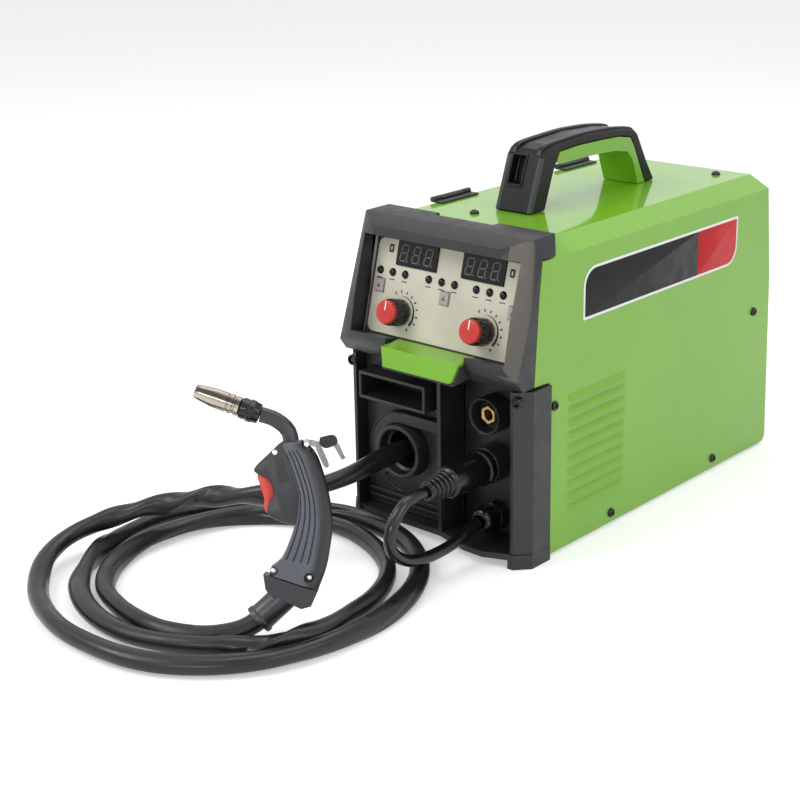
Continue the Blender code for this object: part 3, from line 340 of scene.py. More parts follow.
def frame_of(across, up, out, origin):
    """A frame from its three directions and its origin."""
    matrix = np.eye(4)
    matrix[:3] = np.stack([across, up, out, origin], -1)
    return matrix


def head_matrix():
    """Frame of the tilted front: X across, Y up along the slope, Z out of it."""
    up = (HEAD_TOP - HEAD_KNEE) / np.linalg.norm(HEAD_TOP - HEAD_KNEE)
    return frame_of((1, 0, 0), up, np.cross((1, 0, 0), up), HEAD_TOP)


def torch_matrix():
    """Frame of the torch: leant back about X, turned about Z, and moved to its foot."""
    turn = Matrix.Rotation(TORCH_TURN, 4, "Z") @ Matrix.Rotation(-TORCH_LEAN, 4, "X")
    return np.array(Matrix.Translation(TORCH_FOOT) @ turn)


def wall_frame(y):
    """Frame of a front-facing wall: X across, Y up, Z out of the front."""
    return frame_of((1, 0, 0), (0, 0, 1), (0, -1, 0), (0, y, 0))


HEAD = head_matrix()
TORCH = torch_matrix()
RIGHT_SIDE = frame_of((0, 1, 0), (0, 0, 1), (1, 0, 0), (HALF_WIDTH, 0, 0))


def shifted(matrix, x, y, z):
    """A frame moved along its own axes."""
    return matrix @ frame_of(*np.eye(3), (x, y, z))


def on_panel(x=0.0, down=0.0, out=0.0):
    """A frame on the panel's face, some way down from the head's top edge and out of it."""
    return shifted(HEAD, x, -down, PANEL_FACE + out)


# ---------------------------------------------------------------- materials

# Where a finish changes, in metres of the machine's frame, and the ways such faces look
# Bounds of the painted shade on the case's inside faces under the head and under the hood
UNDER_HEAD_X, UNDER_HEAD_Y = 0.0906, -0.146
UNDER_HOOD_Y, UNDER_HOOD_Z = -0.12, 0.2405
KNUCKLE_X, KNUCKLE_Z = -0.06, 0.2553
# Bounds of the painted light on the head's front right edge
HEAD_EDGE_X, HEAD_EDGE_Z = 0.070, 0.158
HEAD_EDGE_WAY = (0.38, -0.88, 0.27)
# Bounds of the painted highlight on the front corners of the handle's leg
LEG_CORNER_X, LEG_CORNER_TOP, LEG_CORNER_DEEP = 0.0143, 0.2985, 0.0036
CARDS_WAY = (-0.2, 0.25, 0.94)


class Recipe:
    """Writes one node material: a Principled shader with its detail nodes."""

    def __init__(self, name, colour, roughness, metallic=0.0):
        self.made = bpy.data.materials.new(name)
        self.made.use_nodes = True
        self.tree = self.made.node_tree
        self.shader = self.tree.nodes["Principled BSDF"]
        self.colour, self.roughness, self.height = colour, roughness, None
        self.set("Base Color", (*colour, 1.0))
        self.set("Roughness", roughness)
        self.set("Metallic", metallic)

    def set(self, socket, value):
        """Gives the shader's input a value or another node's output."""
        self.feed(self.shader.inputs[socket], value)

    def feed(self, socket, value):
        if isinstance(value, bpy.types.NodeSocket):
            self.tree.links.new(value, socket)
        else:
            socket.default_value = value

    def add(self, kind, inputs, **values):
        """A node with its own settings and with what its inputs are fed."""
        node = self.tree.nodes.new(kind)
        for key, value in values.items():
            setattr(node, key, value)
        for socket, value in inputs.items():
            self.feed(node.inputs[socket], value)
        return node

    def place(self):
        if "Coordinates" not in self.tree.nodes:
            self.add("ShaderNodeTexCoord", {}, name="Coordinates")
        return self.tree.nodes["Coordinates"].outputs["Object"]

    def axes(self):
        return self.add("ShaderNodeSeparateXYZ", {0: self.place()}).outputs[:]

    def noise(self, scale, detail=2.0, stretch=(1.0, 1.0, 1.0), distortion=0.0):
        mapping = self.add("ShaderNodeMapping", {"Vector": self.place(), "Scale": stretch})
        texture = self.add("ShaderNodeTexNoise", {
            "Vector": mapping.outputs["Vector"], "Scale": scale, "Detail": detail,
            "Distortion": distortion})
        return texture.outputs["Fac"]

    def spread(self, value, low, high, start=0.35, end=0.65):
        """Maps a texture value from start..end to low..high."""
        mapped = self.add("ShaderNodeMapRange", {
            "Value": value, "From Min": start, "From Max": end, "To Min": low, "To Max": high})
        return mapped.outputs["Result"]

    def math(self, operation, *values):
        node = self.add("ShaderNodeMath", dict(enumerate(values)), operation=operation)
        return node.outputs[0]

    def above(self, value, limit):
        return self.math("GREATER_THAN", value, limit)

    def below(self, value, limit):
        return self.math("LESS_THAN", value, limit)

    def both(self, first, second):
        return self.math("MULTIPLY", first, second)

    def either(self, first, second):
        return self.math("MAXIMUM", first, second)

    def facing(self, direction):
        """How squarely the surface faces a fixed direction of the machine."""
        normal = self.add("ShaderNodeNewGeometry", {}).outputs["Normal"]
        sides = {0: normal, 1: Vector(direction).normalized()}
        return self.add("ShaderNodeVectorMath", sides, operation="DOT_PRODUCT").outputs["Value"]

    def blend(self, mask, under, over):
        """Colours the shader with one colour, or the other where the mask is one."""
        mix = self.add("ShaderNodeMix", {0: mask, 6: under, 7: (*over, 1.0)}, data_type="RGBA")
        self.set("Base Color", mix.outputs[2])

    def overlay(self, mask, colour):
        """Lays one more colour over the shader's colour where the mask is one."""
        self.blend(mask, self.shader.inputs["Base Color"].links[0].from_socket, colour)

    def vary_colour(self, value, factor):
        """Blends the colour towards a darker or lighter shade of itself."""
        shade = [min(1.0, c * factor) for c in self.colour]
        self.blend(self.spread(value, 0.0, 1.0), (*self.colour, 1.0), shade)

    def vary_roughness(self, value, amount):
        self.set("Roughness",
                 self.spread(value, self.roughness - amount, self.roughness + amount))

    def bump(self, value, strength, distance):
        """Adds relief on top of the relief that is there already."""
        under = {} if self.height is None else {"Normal": self.height}
        node = self.add("ShaderNodeBump", {"Strength": strength, "Distance": distance,
                                           "Height": value, **under})
        self.height = node.outputs["Normal"]
        self.set("Normal", self.height)


def enamel(name, colour, peel):
    """Gloss enamel: faint orange peel and slow drift of shade under a clear coat."""
    recipe = Recipe(name, colour, 0.42)
    recipe.vary_colour(recipe.noise(9.0, 3.0), 1.06)
    recipe.vary_roughness(recipe.noise(26.0, 4.0), 0.05)
    recipe.bump(recipe.noise(peel), 0.10, 0.00006)
    recipe.set("Specular IOR Level", 0.12)
    recipe.set("Coat Weight", 0.9)
    recipe.set("Coat IOR", 1.55)
    recipe.set("Coat Roughness", 0.05)
    return recipe


def case_enamel(name, colour, peel):
    """The enamel of the case, with painted shade: near black on its inside faces under the head and
    under the hood, where they lie in shade. The door's hinge knuckles are black, their own colour.
    """
    recipe = enamel(name, colour, peel)
    x, y, z = recipe.axes()
    hood = recipe.both(recipe.below(y, UNDER_HOOD_Y), recipe.below(z, UNDER_HOOD_Z))
    under = recipe.both(recipe.below(recipe.math("ABSOLUTE", x), UNDER_HEAD_X),
                        recipe.either(recipe.below(y, UNDER_HEAD_Y), hood))
    knuckle = recipe.both(recipe.below(x, KNUCKLE_X), recipe.above(z, KNUCKLE_Z))
    # Painted shade under the head and the hood; black on the hinge knuckles, their own colour
    recipe.overlay(recipe.either(under, knuckle), (0.012, 0.012, 0.014))
    return recipe


def moulding(name, colour, grain, roughness=0.44, gloss=0.55):
    """Spark-textured moulded plastic: fine bump, uneven gloss and a little dust tone."""
    recipe = Recipe(name, colour, roughness)
    recipe.set("Specular IOR Level", gloss)
    recipe.vary_colour(recipe.noise(22.0, 5.0), 1.25)
    recipe.vary_roughness(recipe.noise(70.0, 3.0), 0.07)
    recipe.bump(recipe.noise(grain, 3.0), 0.22, 0.00008)
    return recipe


def head_moulding(name, colour, grain):
    """The head's moulding, with painted light on its front right edge: a paler brown face that
    stands in for the light the panel throws on it.
    """
    recipe = moulding(name, colour, grain)
    x, _, z = recipe.axes()
    edge = recipe.both(recipe.above(x, HEAD_EDGE_X), recipe.above(z, HEAD_EDGE_Z))
    front = recipe.spread(recipe.facing(HEAD_EDGE_WAY), 0.0, 1.0, 0.94, 0.965)
    # Painted light: a paler brown on the edge face that turns towards the panel
    recipe.overlay(recipe.both(edge, front), (0.082, 0.074, 0.064))
    return recipe


def handle_moulding(name, colour, grain):
    """The grip shell's moulding: a smoother one, with a paler painted highlight along both front
    corners of the front leg, as of a lit chamfer; the leg's face leans back by LEG_LEAN of its
    height."""
    recipe = moulding(name, colour, grain, 0.34, gloss=0.25)
    x, y, z = recipe.axes()
    behind_face = recipe.math("SUBTRACT", y, recipe.math("MULTIPLY", z, LEG_LEAN))
    corner = recipe.both(recipe.above(recipe.math("ABSOLUTE", x), LEG_CORNER_X),
                         recipe.below(z, LEG_CORNER_TOP))
    face_start = LEG_FACE[0][0] * MM - LEG_LEAN * LEG_FACE[0][1] * MM
    near = recipe.below(behind_face, face_start + LEG_CORNER_DEEP)
    # Painted highlight along the leg's front corners, as of a lit chamfer
    recipe.overlay(recipe.both(corner, near), (0.050, 0.050, 0.053))
    return recipe


def grip_moulding(name, colour, grain):
    """The torch's moulding, fading to near black on its rounded back: partly a darker back, partly
    painted shade on the faces that turn away from the light.
    """
    recipe = moulding(name, colour, grain)
    back = recipe.spread(recipe.facing(TORCH[:3, 0]), 0.0, 1.0, 0.12, 0.40)
    # Painted shade over a darker back: near black where the surface faces the grip's back
    recipe.overlay(back, (0.010, 0.0105, 0.014))
    return recipe


def smooth_plastic(name, colour, roughness, gloss=0.5):
    """Smooth plastic: uneven gloss and a trace of moulded ripple."""
    recipe = Recipe(name, colour, roughness)
    recipe.set("Specular IOR Level", gloss)
    recipe.vary_roughness(recipe.noise(120.0, 3.0), 0.06)
    recipe.bump(recipe.noise(260.0), 0.03, 0.00005)
    return recipe


def metal(name, colour, roughness, stretch=(1.0, 1.0, 1.0), tarnish=0.82):
    """Machined or plated metal: fine drawn lines along the stretched axis, uneven tarnish."""
    recipe = Recipe(name, colour, roughness, 1.0)
    recipe.vary_colour(recipe.noise(60.0, 4.0), tarnish)
    recipe.vary_roughness(recipe.noise(600.0, 3.0, stretch), 0.08)
    recipe.bump(recipe.noise(600.0, 3.0, stretch), 0.08, 0.00005)
    return recipe


def plating(name, colour, roughness, bands):
    """Mirror-bright plating: the shade swings from bright to dark and back as the surface
    turns from up to down, as a studio's cards show in it, over fine drawn lines."""
    recipe = metal(name, colour, roughness, (1.0, 1.0, 6.0), 0.8)
    swing = recipe.math("SINE", recipe.math("MULTIPLY", recipe.facing(CARDS_WAY), bands))
    recipe.overlay(recipe.spread(swing, 0.0, 0.9, -0.3, 0.7), [0.10 * c for c in colour])
    return recipe


def rubber(name, colour):
    """Matt rubber: blotched tone, uneven gloss and a coarse grain."""
    recipe = Recipe(name, colour, 0.6)
    recipe.vary_colour(recipe.noise(45.0, 5.0), 1.5)
    recipe.vary_roughness(recipe.noise(60.0, 4.0), 0.10)
    recipe.bump(recipe.noise(240.0, 5.0), 0.25, 0.00025)
    return recipe


def sheath(name, colour):
    """Soft cable sheath: semi-matt, with long shallow creases."""
    recipe = Recipe(name, colour, 0.32)
    recipe.set("Specular IOR Level", 0.42)
    recipe.vary_colour(recipe.noise(30.0, 5.0), 1.6)
    recipe.vary_roughness(recipe.noise(45.0, 4.0), 0.09)
    recipe.bump(recipe.noise(55.0, 4.0, distortion=0.6), 0.35, 0.0012)
    recipe.bump(recipe.noise(900.0, 3.0), 0.15, 0.0001)
    return recipe


def board(name, colour):
    """Coated circuit board: streaks of darker and lighter tracks and a slight relief."""
    recipe = Recipe(name, colour, 0.45)
    recipe.vary_colour(recipe.noise(300.0, 6.0, (1.0, 0.2, 1.0)), 1.9)
    recipe.bump(recipe.noise(420.0), 0.2, 0.0002)
    return recipe


def mix_materials(colours, sizes):
    """Every finish of the machine, by its plain name."""
    paint, plastic, panel, accent = (
        tuple(getattr(colours, key)) for key in ("paint", "plastic", "panel", "accent"))
    peel, grain = sizes.paint_grain, sizes.plastic_grain
    film, deep_black = (grain * 0.3, 0.42, 0.2), (0.006, 0.006, 0.007)
    recipes = {
        "paint": enamel("green enamel", paint, peel),
        "case": case_enamel("case enamel", paint, peel),
        "plastic": moulding("black moulding", plastic, grain),
        "bezel": head_moulding("head moulding", plastic, grain),
        "handle": handle_moulding("handle moulding", deep_black, grain),
        "grip": grip_moulding("torch moulding", (0.070, 0.074, 0.094), grain * 0.7),
        "grip_dark": moulding("torch housing", (0.010, 0.011, 0.015), grain * 0.7, 0.4),
        "inset": moulding("torch inset", (0.008, 0.008, 0.010), grain * 0.7, 0.5),
        "neck": smooth_plastic("neck sleeve", (0.016, 0.017, 0.022), 0.36, 0.6),
        "trigger": smooth_plastic("trigger red", (0.72, 0.060, 0.038), 0.4),
        "bright": metal("bright zinc", (0.86, 0.86, 0.84), 0.3),
        "panel": moulding("panel film", panel, grain * 0.4, 0.5),
        "accent": smooth_plastic("red plastic", accent, 0.33, 0.4),
        "plate_red": moulding("red film", (0.46, 0.012, 0.016), *film),
        "plate_dark": moulding("black film", (0.010, 0.010, 0.011), *film),
        "key": smooth_plastic("grey key", (0.34, 0.34, 0.34), 0.4),
        "lens": smooth_plastic("display lens", (0.003, 0.003, 0.004), 0.2, 0.3),
        "gloss_black": smooth_plastic("gloss black", (0.005, 0.005, 0.006), 0.2, 0.42),
        "digit": smooth_plastic("unlit segment", (0.10, 0.098, 0.092), 0.5),
        "print_dark": smooth_plastic("dark print", (0.015, 0.015, 0.015), 0.5),
        "print_white": smooth_plastic("white print", (0.82, 0.82, 0.82), 0.5),
        "print_red": smooth_plastic("red print", (0.33, 0.014, 0.014), 0.45),
        "steel": metal("zinc plated steel", (0.55, 0.55, 0.56), 0.34),
        "chrome": plating("bright spring steel", (0.44, 0.43, 0.41), 0.14, 6.0),
        "nickel": plating("nickel plate", (0.50, 0.46, 0.38), 0.18, 4.0),
        "brass": metal("brass", (0.75, 0.50, 0.20), 0.28),
        "copper": metal("copper", (0.72, 0.34, 0.18), 0.3),
        "aluminium": metal("aluminium", (0.68, 0.69, 0.70), 0.38, (1.0, 5.0, 1.0)),
        "rubber": rubber("rubber", (0.022, 0.022, 0.023)),
        "sheath": sheath("cable sheath", (0.008, 0.008, 0.009)),
        "lead": smooth_plastic("lead jacket", deep_black, 0.22),
        "board": board("circuit board", (0.02, 0.14, 0.05)),
    }
    MATERIALS.update({finish: recipe.made for finish, recipe in recipes.items()})


NODE_FINISH = {
    "case": ("cover", "side_door"),
    "paint": ("accent_trim", "handle_core"),
    "bezel": ("front_bezel",),
    "handle": ("handle_cover",),
    "plastic": ("front_frame", "port_housing", "port_ring", "storage_pocket",
                "socket_panel", "socket_upper", "socket_lower", "rear_panel",
                "fan_frame", "fan_rotor", "mains_gland", "wire_spool", "spool_hub",
                "pressure_arm", "door_latch", "hinge_front", "hinge_rear"),
    "gloss_black": ("polarity_plug", "cable_gland", "power_switch_housing", "torch_collar"),
    "grip": ("torch_shell_left", "torch_shell_right"),
    "grip_dark": ("torch_flange",),
    "neck": ("torch_neck", "torch_strain_relief"),
    "panel": ("control_panel",),
    "lens": ("display_board",),
    "key": ("button_left", "button_centre", "button_right"),
    "accent": ("power_rocker",),
    "trigger": ("torch_trigger",),
    "steel": ("base_tray", "divider_panel", "fan_guard", "feed_motor", "drive_roll",
              "pressure_roll"),
    "aluminium": ("heatsink", "feeder_plate"),
    "brass": ("socket_contact", "gas_inlet"),
    "copper": ("transformer", "contact_tip"),
    "nickel": ("torch_nozzle",),
    "chrome": ("torch_hook",),
    "rubber": ("rear_foot_left", "rear_foot_right"),
    "board": ("main_board",),
    "sheath": ("torch_cable",),
    "lead": ("polarity_lead",),
}

SOFT_EDGES = {
    "front_bezel": 2.6, "front_frame": 1.4, "port_housing": 0.8, "port_ring": 0.7,
    "storage_pocket": 0.9, "socket_panel": 0.5, "socket_upper": 0.7, "socket_lower": 0.7,
    "handle_core": 1.2, "accent_trim": 1.1, "cable_gland": 0.5,
    "polarity_plug": 0.4, "torch_flange": 3.4, "button_left": 0.6, "button_centre": 0.6,
    "button_right": 0.6, "torch_trigger": 1.0, "rear_panel": 0.6, "door_latch": 0.5,
    "power_switch_housing": 0.8, "power_rocker": 0.8, "fan_frame": 0.8, "torch_collar": 0.4,
    "torch_nozzle": 0.25, "torch_strain_relief": 0.5, "mains_gland": 0.6, "control_panel": 0.15,
}


def bevel(thing, name, width, segments, angle):
    """Rolls or chamfers the edges that turn by more than an angle."""
    made = thing.modifiers.new(name, "BEVEL")
    made.width = width * MM
    made.segments = segments
    made.limit_method = "ANGLE"
    made.angle_limit = math.radians(angle)


def weld(thing):
    """Joins the loose triangles of a constructed part."""
    thing.modifiers.new("weld", "WELD").merge_threshold = 0.00002


def soften(thing, width):
    """Rolls a part's sharp edges and evens its shading."""
    thing.data.polygons.foreach_set("use_smooth", [True] * len(thing.data.polygons))
    weld(thing)
    bevel(thing, "edges", width, 3, 38)
    even = thing.modifiers.new("shading", "WEIGHTED_NORMAL")
    even.weight = 60
    even.keep_sharp = True


def chamfer(thing, width):
    """Flat chamfers on a part's sharp edges, each with its own small rolled edges."""
    weld(thing)
    bevel(thing, "chamfer", width, 1, 60)
    bevel(thing, "edges", 0.7, 3, 25)


class WELDER_OT_finish_nodes(bpy.types.Operator):
    """Gives every constructed part its finish and soft edges"""
    bl_idname = "welder.finish_nodes"
    bl_label = "Finish Constructed Parts"

    def execute(self, context):
        mix_materials(context.scene.welder_colours, context.scene.welder_sizes)
        for finish, nodes in NODE_FINISH.items():
            for node in nodes:
                NODES[node].data.materials.clear()
                NODES[node].data.materials.append(MATERIALS[finish])
        for node, width in SOFT_EDGES.items():
            soften(NODES[node], width)
        chamfer(NODES["handle_cover"], 4.6)
        return {"FINISHED"}


# ---------------------------------------------------------------- cords

# The sheath's fold, a crest and a valley: height as a share of the radius, and the angle from
# the flat's middle and the width in radians. Then the least and the most of the radius
FOLD = ((0.13, 0.0, 0.30), (-0.20, 0.62, 0.24))
THINNEST, THICKEST = 0.74, 1.29


def cable_radius(path, radius, sides):
    """A soft sheath round a cable: flattened, the flat turning along the way and wrung tight
    in three places, with one fold that winds round it and comes and goes, and slow
    swellings. All die out at both ends."""
    s = distances(path)[:, None]
    angle = around(sides)[None, :]
    twist, tight = 0.010 * s + 1.2 * np.sin(s / 150.0) + 0.6 * np.sin(s / 57.0), 0.0
    for start, end, turn in WRUNG:
        reach = np.clip((s - start) / (end - start), 0, 1)
        twist = twist + turn * reach
        tight = tight + np.sin(math.pi * reach) ** 0.5
    oval = (0.12 + 0.04 * tight) * np.cos(2 * (angle - twist)) * (0.8 + 0.2 * np.sin(s / 90.0))
    away = (angle - twist + math.pi) % math.tau - math.pi
    come = np.clip(0.7 + 0.5 * np.sin(s / 74.0) + 0.4 * np.sin(s / 31.0 + 1.0), 0, 1)
    fold = come * sum(high * np.exp(-((away - spot) / wide) ** 2) for high, spot, wide in FOLD)
    swell = 0.022 * np.sin(s / 23.0 + 1.3 * np.sin(s / 61.0)) * np.cos(angle - 0.02 * s)
    ease = np.clip(np.minimum(s / 70.0, (s[-1] - s) / 60.0), 0, 1)
    return radius * np.clip(1 + ease * (oval + fold + swell), THINNEST, THICKEST)


class WELDER_OT_cords(bpy.types.Operator):
    """Lays the torch cable in its coil and hangs the polarity lead"""
    bl_idname = "welder.cords"
    bl_label = "Cords"

    def execute(self, context):
        self.lay_cable()
        self.hang_lead()
        return {"FINISHED"}

    def lay_cable(self):
        """The sheath's rings along the cable's smooth line, none of them under the floor."""
        way = np.array(TAIL_WAY) / np.linalg.norm(TAIL_WAY)
        ends = [TAIL_START + reach * way for reach in (TAIL_LENGTH + 1.0, TAIL_LENGTH - 5.0)]
        path = smooth_line([*CABLE_ROUTE, *placed(ends, TORCH)], 4.0)
        radius = cable_radius(path, CABLE_DIAMETER / 2 - 0.1, 48)
        points = tube_points(path, radius, (0, 0, 1), 48)
        points[..., 2] = np.maximum(points[..., 2], 0.1)
        cable = surface("cable_sheath", points, "sheath", smooth=180)
        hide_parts("torch_cable")

    def hang_lead(self):
        """A round jacket along the lead's smooth line."""
        path = smooth_line(LEAD_ROUTE, 2.5)
        points = tube_points(path, LEAD_DIAMETER / 2 - 0.05, (1, 0, 0), 24)
        lead = surface("lead_jacket", points, "lead", smooth=180)
        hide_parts("polarity_lead")


# ---------------------------------------------------------------- control head

# Bars of a digit: across and up from its middle, in half widths and heights, and the turn
SEGMENTS = ((0, 1, 0), (1, 0.5, 90), (1, -0.5, 90), (0, -1, 0), (-1, -0.5, 90), (-1, 0.5, 90),
            (0, 0, 0))
DIGIT_WIDTH, DIGIT_HEIGHT, DIGIT_PITCH = 6.6, 13.0, 12.6
DIGIT_LEAN = math.radians(8)
BAR_HALF = 0.625
# Middle of the band round each knob
SCALE_RADIUS = 13.4


def turned_flat(points, angle):
    """Flat points turned about the origin, x and y mixed by the angle's cosine and sine."""
    c, s = math.cos(angle), math.sin(angle)
    return points @ np.array([[c, s], [-s, c]])


def segment_outline(length):
    """One bar of a digit: a rectangle with pointed ends."""
    half, rim = length / 2, BAR_HALF
    return np.array([(half, 0), (half - rim, rim), (rim - half, rim), (-half, 0),
                     (rim - half, -rim), (half - rim, -rim)])


def digit_shapes(x, y, place):
    """The seven bars and the point of one leaning digit."""
    outlines = []
    for dx, dy, turn in SEGMENTS:
        length = (DIGIT_WIDTH if turn == 0 else DIGIT_HEIGHT / 2) - 0.5
        bar = turned_flat(segment_outline(length), math.radians(turn))
        bar = bar + (dx * DIGIT_WIDTH / 2, dy * DIGIT_HEIGHT / 2)
        bar[:, 0] += bar[:, 1] * math.tan(DIGIT_LEAN)
        outlines.append(bar + (x, y))
    outlines.append(circle(0.75, 12, x + DIGIT_WIDTH * 0.62, y - DIGIT_HEIGHT / 2))
    return [flat_mark(outline, 0.0, 0.12, place) for outline in outlines]


def knob_ripple(angle, along):
    """Flutes: the radius dips where a cosine of fourteen periods falls below zero."""
    dip = np.clip(-np.cos(14 * angle), 0, 1) ** 0.6
    return -0.75 * dip * np.clip((15.0 - along) / 1.2, 0, 1)


class WELDER_OT_head(bpy.types.Operator):
    """Dresses the control head: digits, lamps, key marks, knobs and their scales"""
    bl_idname = "welder.head"
    bl_label = "Control Head"

    def execute(self, context):
        self.window_frame()
        self.digits()
        self.icons()
        self.lamps()
        self.key_marks()
        self.knobs()
        self.scales()
        return {"FINISHED"}

    def window_frame(self):
        """Dark frame with rounded inner corners, lying on the panel against the bezel."""
        outer = rounded_rectangle(-PANEL_HALF + 0.1, PANEL_HALF - 0.1, -96.8, -17.8, 0.6, 8)
        inner = rounded_rectangle(-PANEL_HALF + 1.6, PANEL_HALF - 1.6, -95.6, -19.2, 6.5, 8)
        points = ring_grid(outer, inner, 0.02, 1.5, on_panel(), 0.4)
        surface("window_frame", points, "plastic", ring=True)

    def icons(self):
        """Small dark signs beside the displays, each with one light stroke."""
        sign = rounded_rectangle(-2.3, 2.3, -3.3, 3.3, 0.9)
        stroke = rounded_rectangle(-0.5, 0.5, -1.7, 1.7, 0.45)
        for name, x, down in (("left", -62.3, 26.8), ("right", 61.2, 27.8)):
            place = on_panel(x, down)
            slab(f"sign_{name}", sign, 0.02, 0.35, place, "print_dark", 0.1)
            slab(f"sign_stroke_{name}", stroke, 0.3, 0.45, place, "print_white", 0.05)

    def digits(self):
        """Three unlit digits in each of the two displays."""
        middle = -sum(DISPLAY_DOWN) / 2
        shapes = []
        for x0, x1 in DISPLAY_SPANS:
            for step in (-1, 0, 1):
                x = (x0 + x1) / 2 + step * DIGIT_PITCH - 0.6
                shapes += digit_shapes(x, middle, on_panel(out=1.62))
        mesh_piece("display_segments", *joined(shapes), "digit")

    def lamps(self):
        """Nine dark lenses, each over a row of three short dashes."""
        profile = [(0, 0.1), (3.3, 0.1), (3.3, 0.5), (2.9, 0.95), (2.5, 1.75), (1.5, 2.2), (0, 2.4)]
        spots = [group + step * LAMP_PITCH for group in LAMP_GROUPS for step in (-1, 0, 1)]
        shapes = []
        for number, x in enumerate(spots):
            turned(f"lamp_{number + 1}", profile, on_panel(x, LAMP_DOWN)[:3, 3], HEAD[:3, 2],
                   "lens", 24)
            for start in (-2.7, -0.8, 1.1):
                dash = rounded_rectangle(start, start + 1.6, -6.4, -5.4, 0.2, 2)
                shapes.append(flat_mark(dash, 0.01, 0.1, on_panel(x, LAMP_DOWN)))
        mesh_piece("lamp_dashes", *joined(shapes), "print_dark")

    def key_marks(self):
        """A small red triangle on each key."""
        mark = [(-2.0, -1.9), (2.0, -1.9), (0.0, 1.9)]
        for name, x in zip(("left", "centre", "right"), BUTTON_XS):
            slab(f"key_mark_{name}", mark, 0.02, 0.2, on_panel(x, BUTTON_DOWN, 1.8), "print_red",
                 0.05, f"button_{name}")

    def knobs(self):
        """A fluted body and a cap turned round each knob's axis, and a pointer on the cap."""
        body = [(0, 0.9), (10.6, 0.9), (11.0, 1.4), (11.0, 8.0), (10.9, 13.6), (10.5, 15.2),
                (9.9, 15.8), (9.5, 15.6), (0, 15.6)]
        cap = [(0, 15.7), (9.4, 15.7), (9.7, 16.2), (9.7, 18.6), (9.2, 19.5), (8.2, 19.9),
               (0, 19.9)]
        pointer = rounded_rectangle(-0.55, 0.55, 1.2, 9.0, 0.5, 3)
        axis = HEAD[:3, 2]
        for name, x in zip(("knob_left", "knob_right"), KNOB_XS):
            centre = on_panel(x, KNOB_DOWN)[:3, 3]
            turned(f"{name}_body", body, centre, axis, "gloss_black", 168, name, knob_ripple)
            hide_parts(name)
            turned(f"{name}_cap", cap, centre, axis, "accent", 64, name)
            slab(f"{name}_pointer", pointer, 0.02, 0.25, on_panel(x, KNOB_DOWN, 19.9),
                 "print_white", 0.08, name)

    def scales(self):
        """Ticks from the top clockwise, a band that widens as it turns, and an end dot."""
        tick = np.array([(15.6, -0.6), (17.9, -0.6), (17.9, 0.6), (15.6, 0.6)])
        outlines = [turned_flat(tick, turn) for turn in np.radians(np.linspace(118, -24, 8))]
        sweep = directions(np.radians(np.linspace(96, -42, 40)))
        width = np.linspace(0.15, 1.15, 40)[:, None]
        outlines.append(np.concatenate([sweep * (SCALE_RADIUS - width),
                                        (sweep * (SCALE_RADIUS + width))[::-1]]))
        outlines.append(circle(1.1, 20, *directions(math.radians(-55)) * 15.2))
        shapes = [flat_mark(outline, 0.01, 0.1, on_panel(x, KNOB_DOWN))
                  for x in KNOB_XS for outline in outlines]
        mesh_piece("knob_scales", *joined(shapes), "print_dark")


# ---------------------------------------------------------------- case details

PLATE = (-105.0, 121.0, 187.0, 229.0)
PLATE_SPLIT = 58.0
HANDLE_LINE = [(-61.0, 300.4), (-56.0, 305.2), (-46.0, 307.2), (-20.0, 308.7), (0.0, 309.4),
               (20.0, 308.9), (40.0, 307.8), (60.0, 305.3), (67.5, 303.3), (73.0, 298.6)]
LEG_FACE = ((-78.0, 255.4), (-62.0, 299.0))
LEG_LEAN = (LEG_FACE[1][0] - LEG_FACE[0][0]) / (LEG_FACE[1][1] - LEG_FACE[0][1])
# Screws of the rear panel: place, and how far each one's axis tips up
REAR_SCREWS = [(-80, 183.9, 14, 0.042), (80, 183.9, 14, 0.042), (-80, 178.4, 150, 0.042),
               (80, 178.4, 150, 0.042), (-78, 169.2, 239, 0.11), (78, 169.2, 239, 0.11)]
SIDE_SCREWS = [(-141, 127), (-61, 11), (96, 12), (155, 135)]
PAN_HEAD = np.array([(0.05, 3.0), (0.7, 3.0), (1.3, 2.95), (1.9, 2.85), (2.3, 2.7), (3.1, 2.2),
                     (3.8, 1.4), (3.9, 0.8), (3.9, 0.05), (0.05, 0.05)])


def plate_outline(inset):
    """The side plate: a strip with its upper front and lower rear corners rounded off."""
    y0, y1, z0, z1 = PLATE
    y0, y1, z0, z1 = y0 + inset, y1 - inset, z0 + inset, z1 - inset
    big, small = 16.0 - inset, 1.5
    arcs = [(y1 - small, z1 - small, small, 0), (y0 + big, z1 - big, big, 90),
            (y0 + small, z0 + small, small, 180), (y1 - big, z0 + big, big, 270)]
    return np.concatenate([radius * directions(np.radians(np.linspace(start, start + 90, 9)))
                           + (y, z) for y, z, radius, start in arcs])


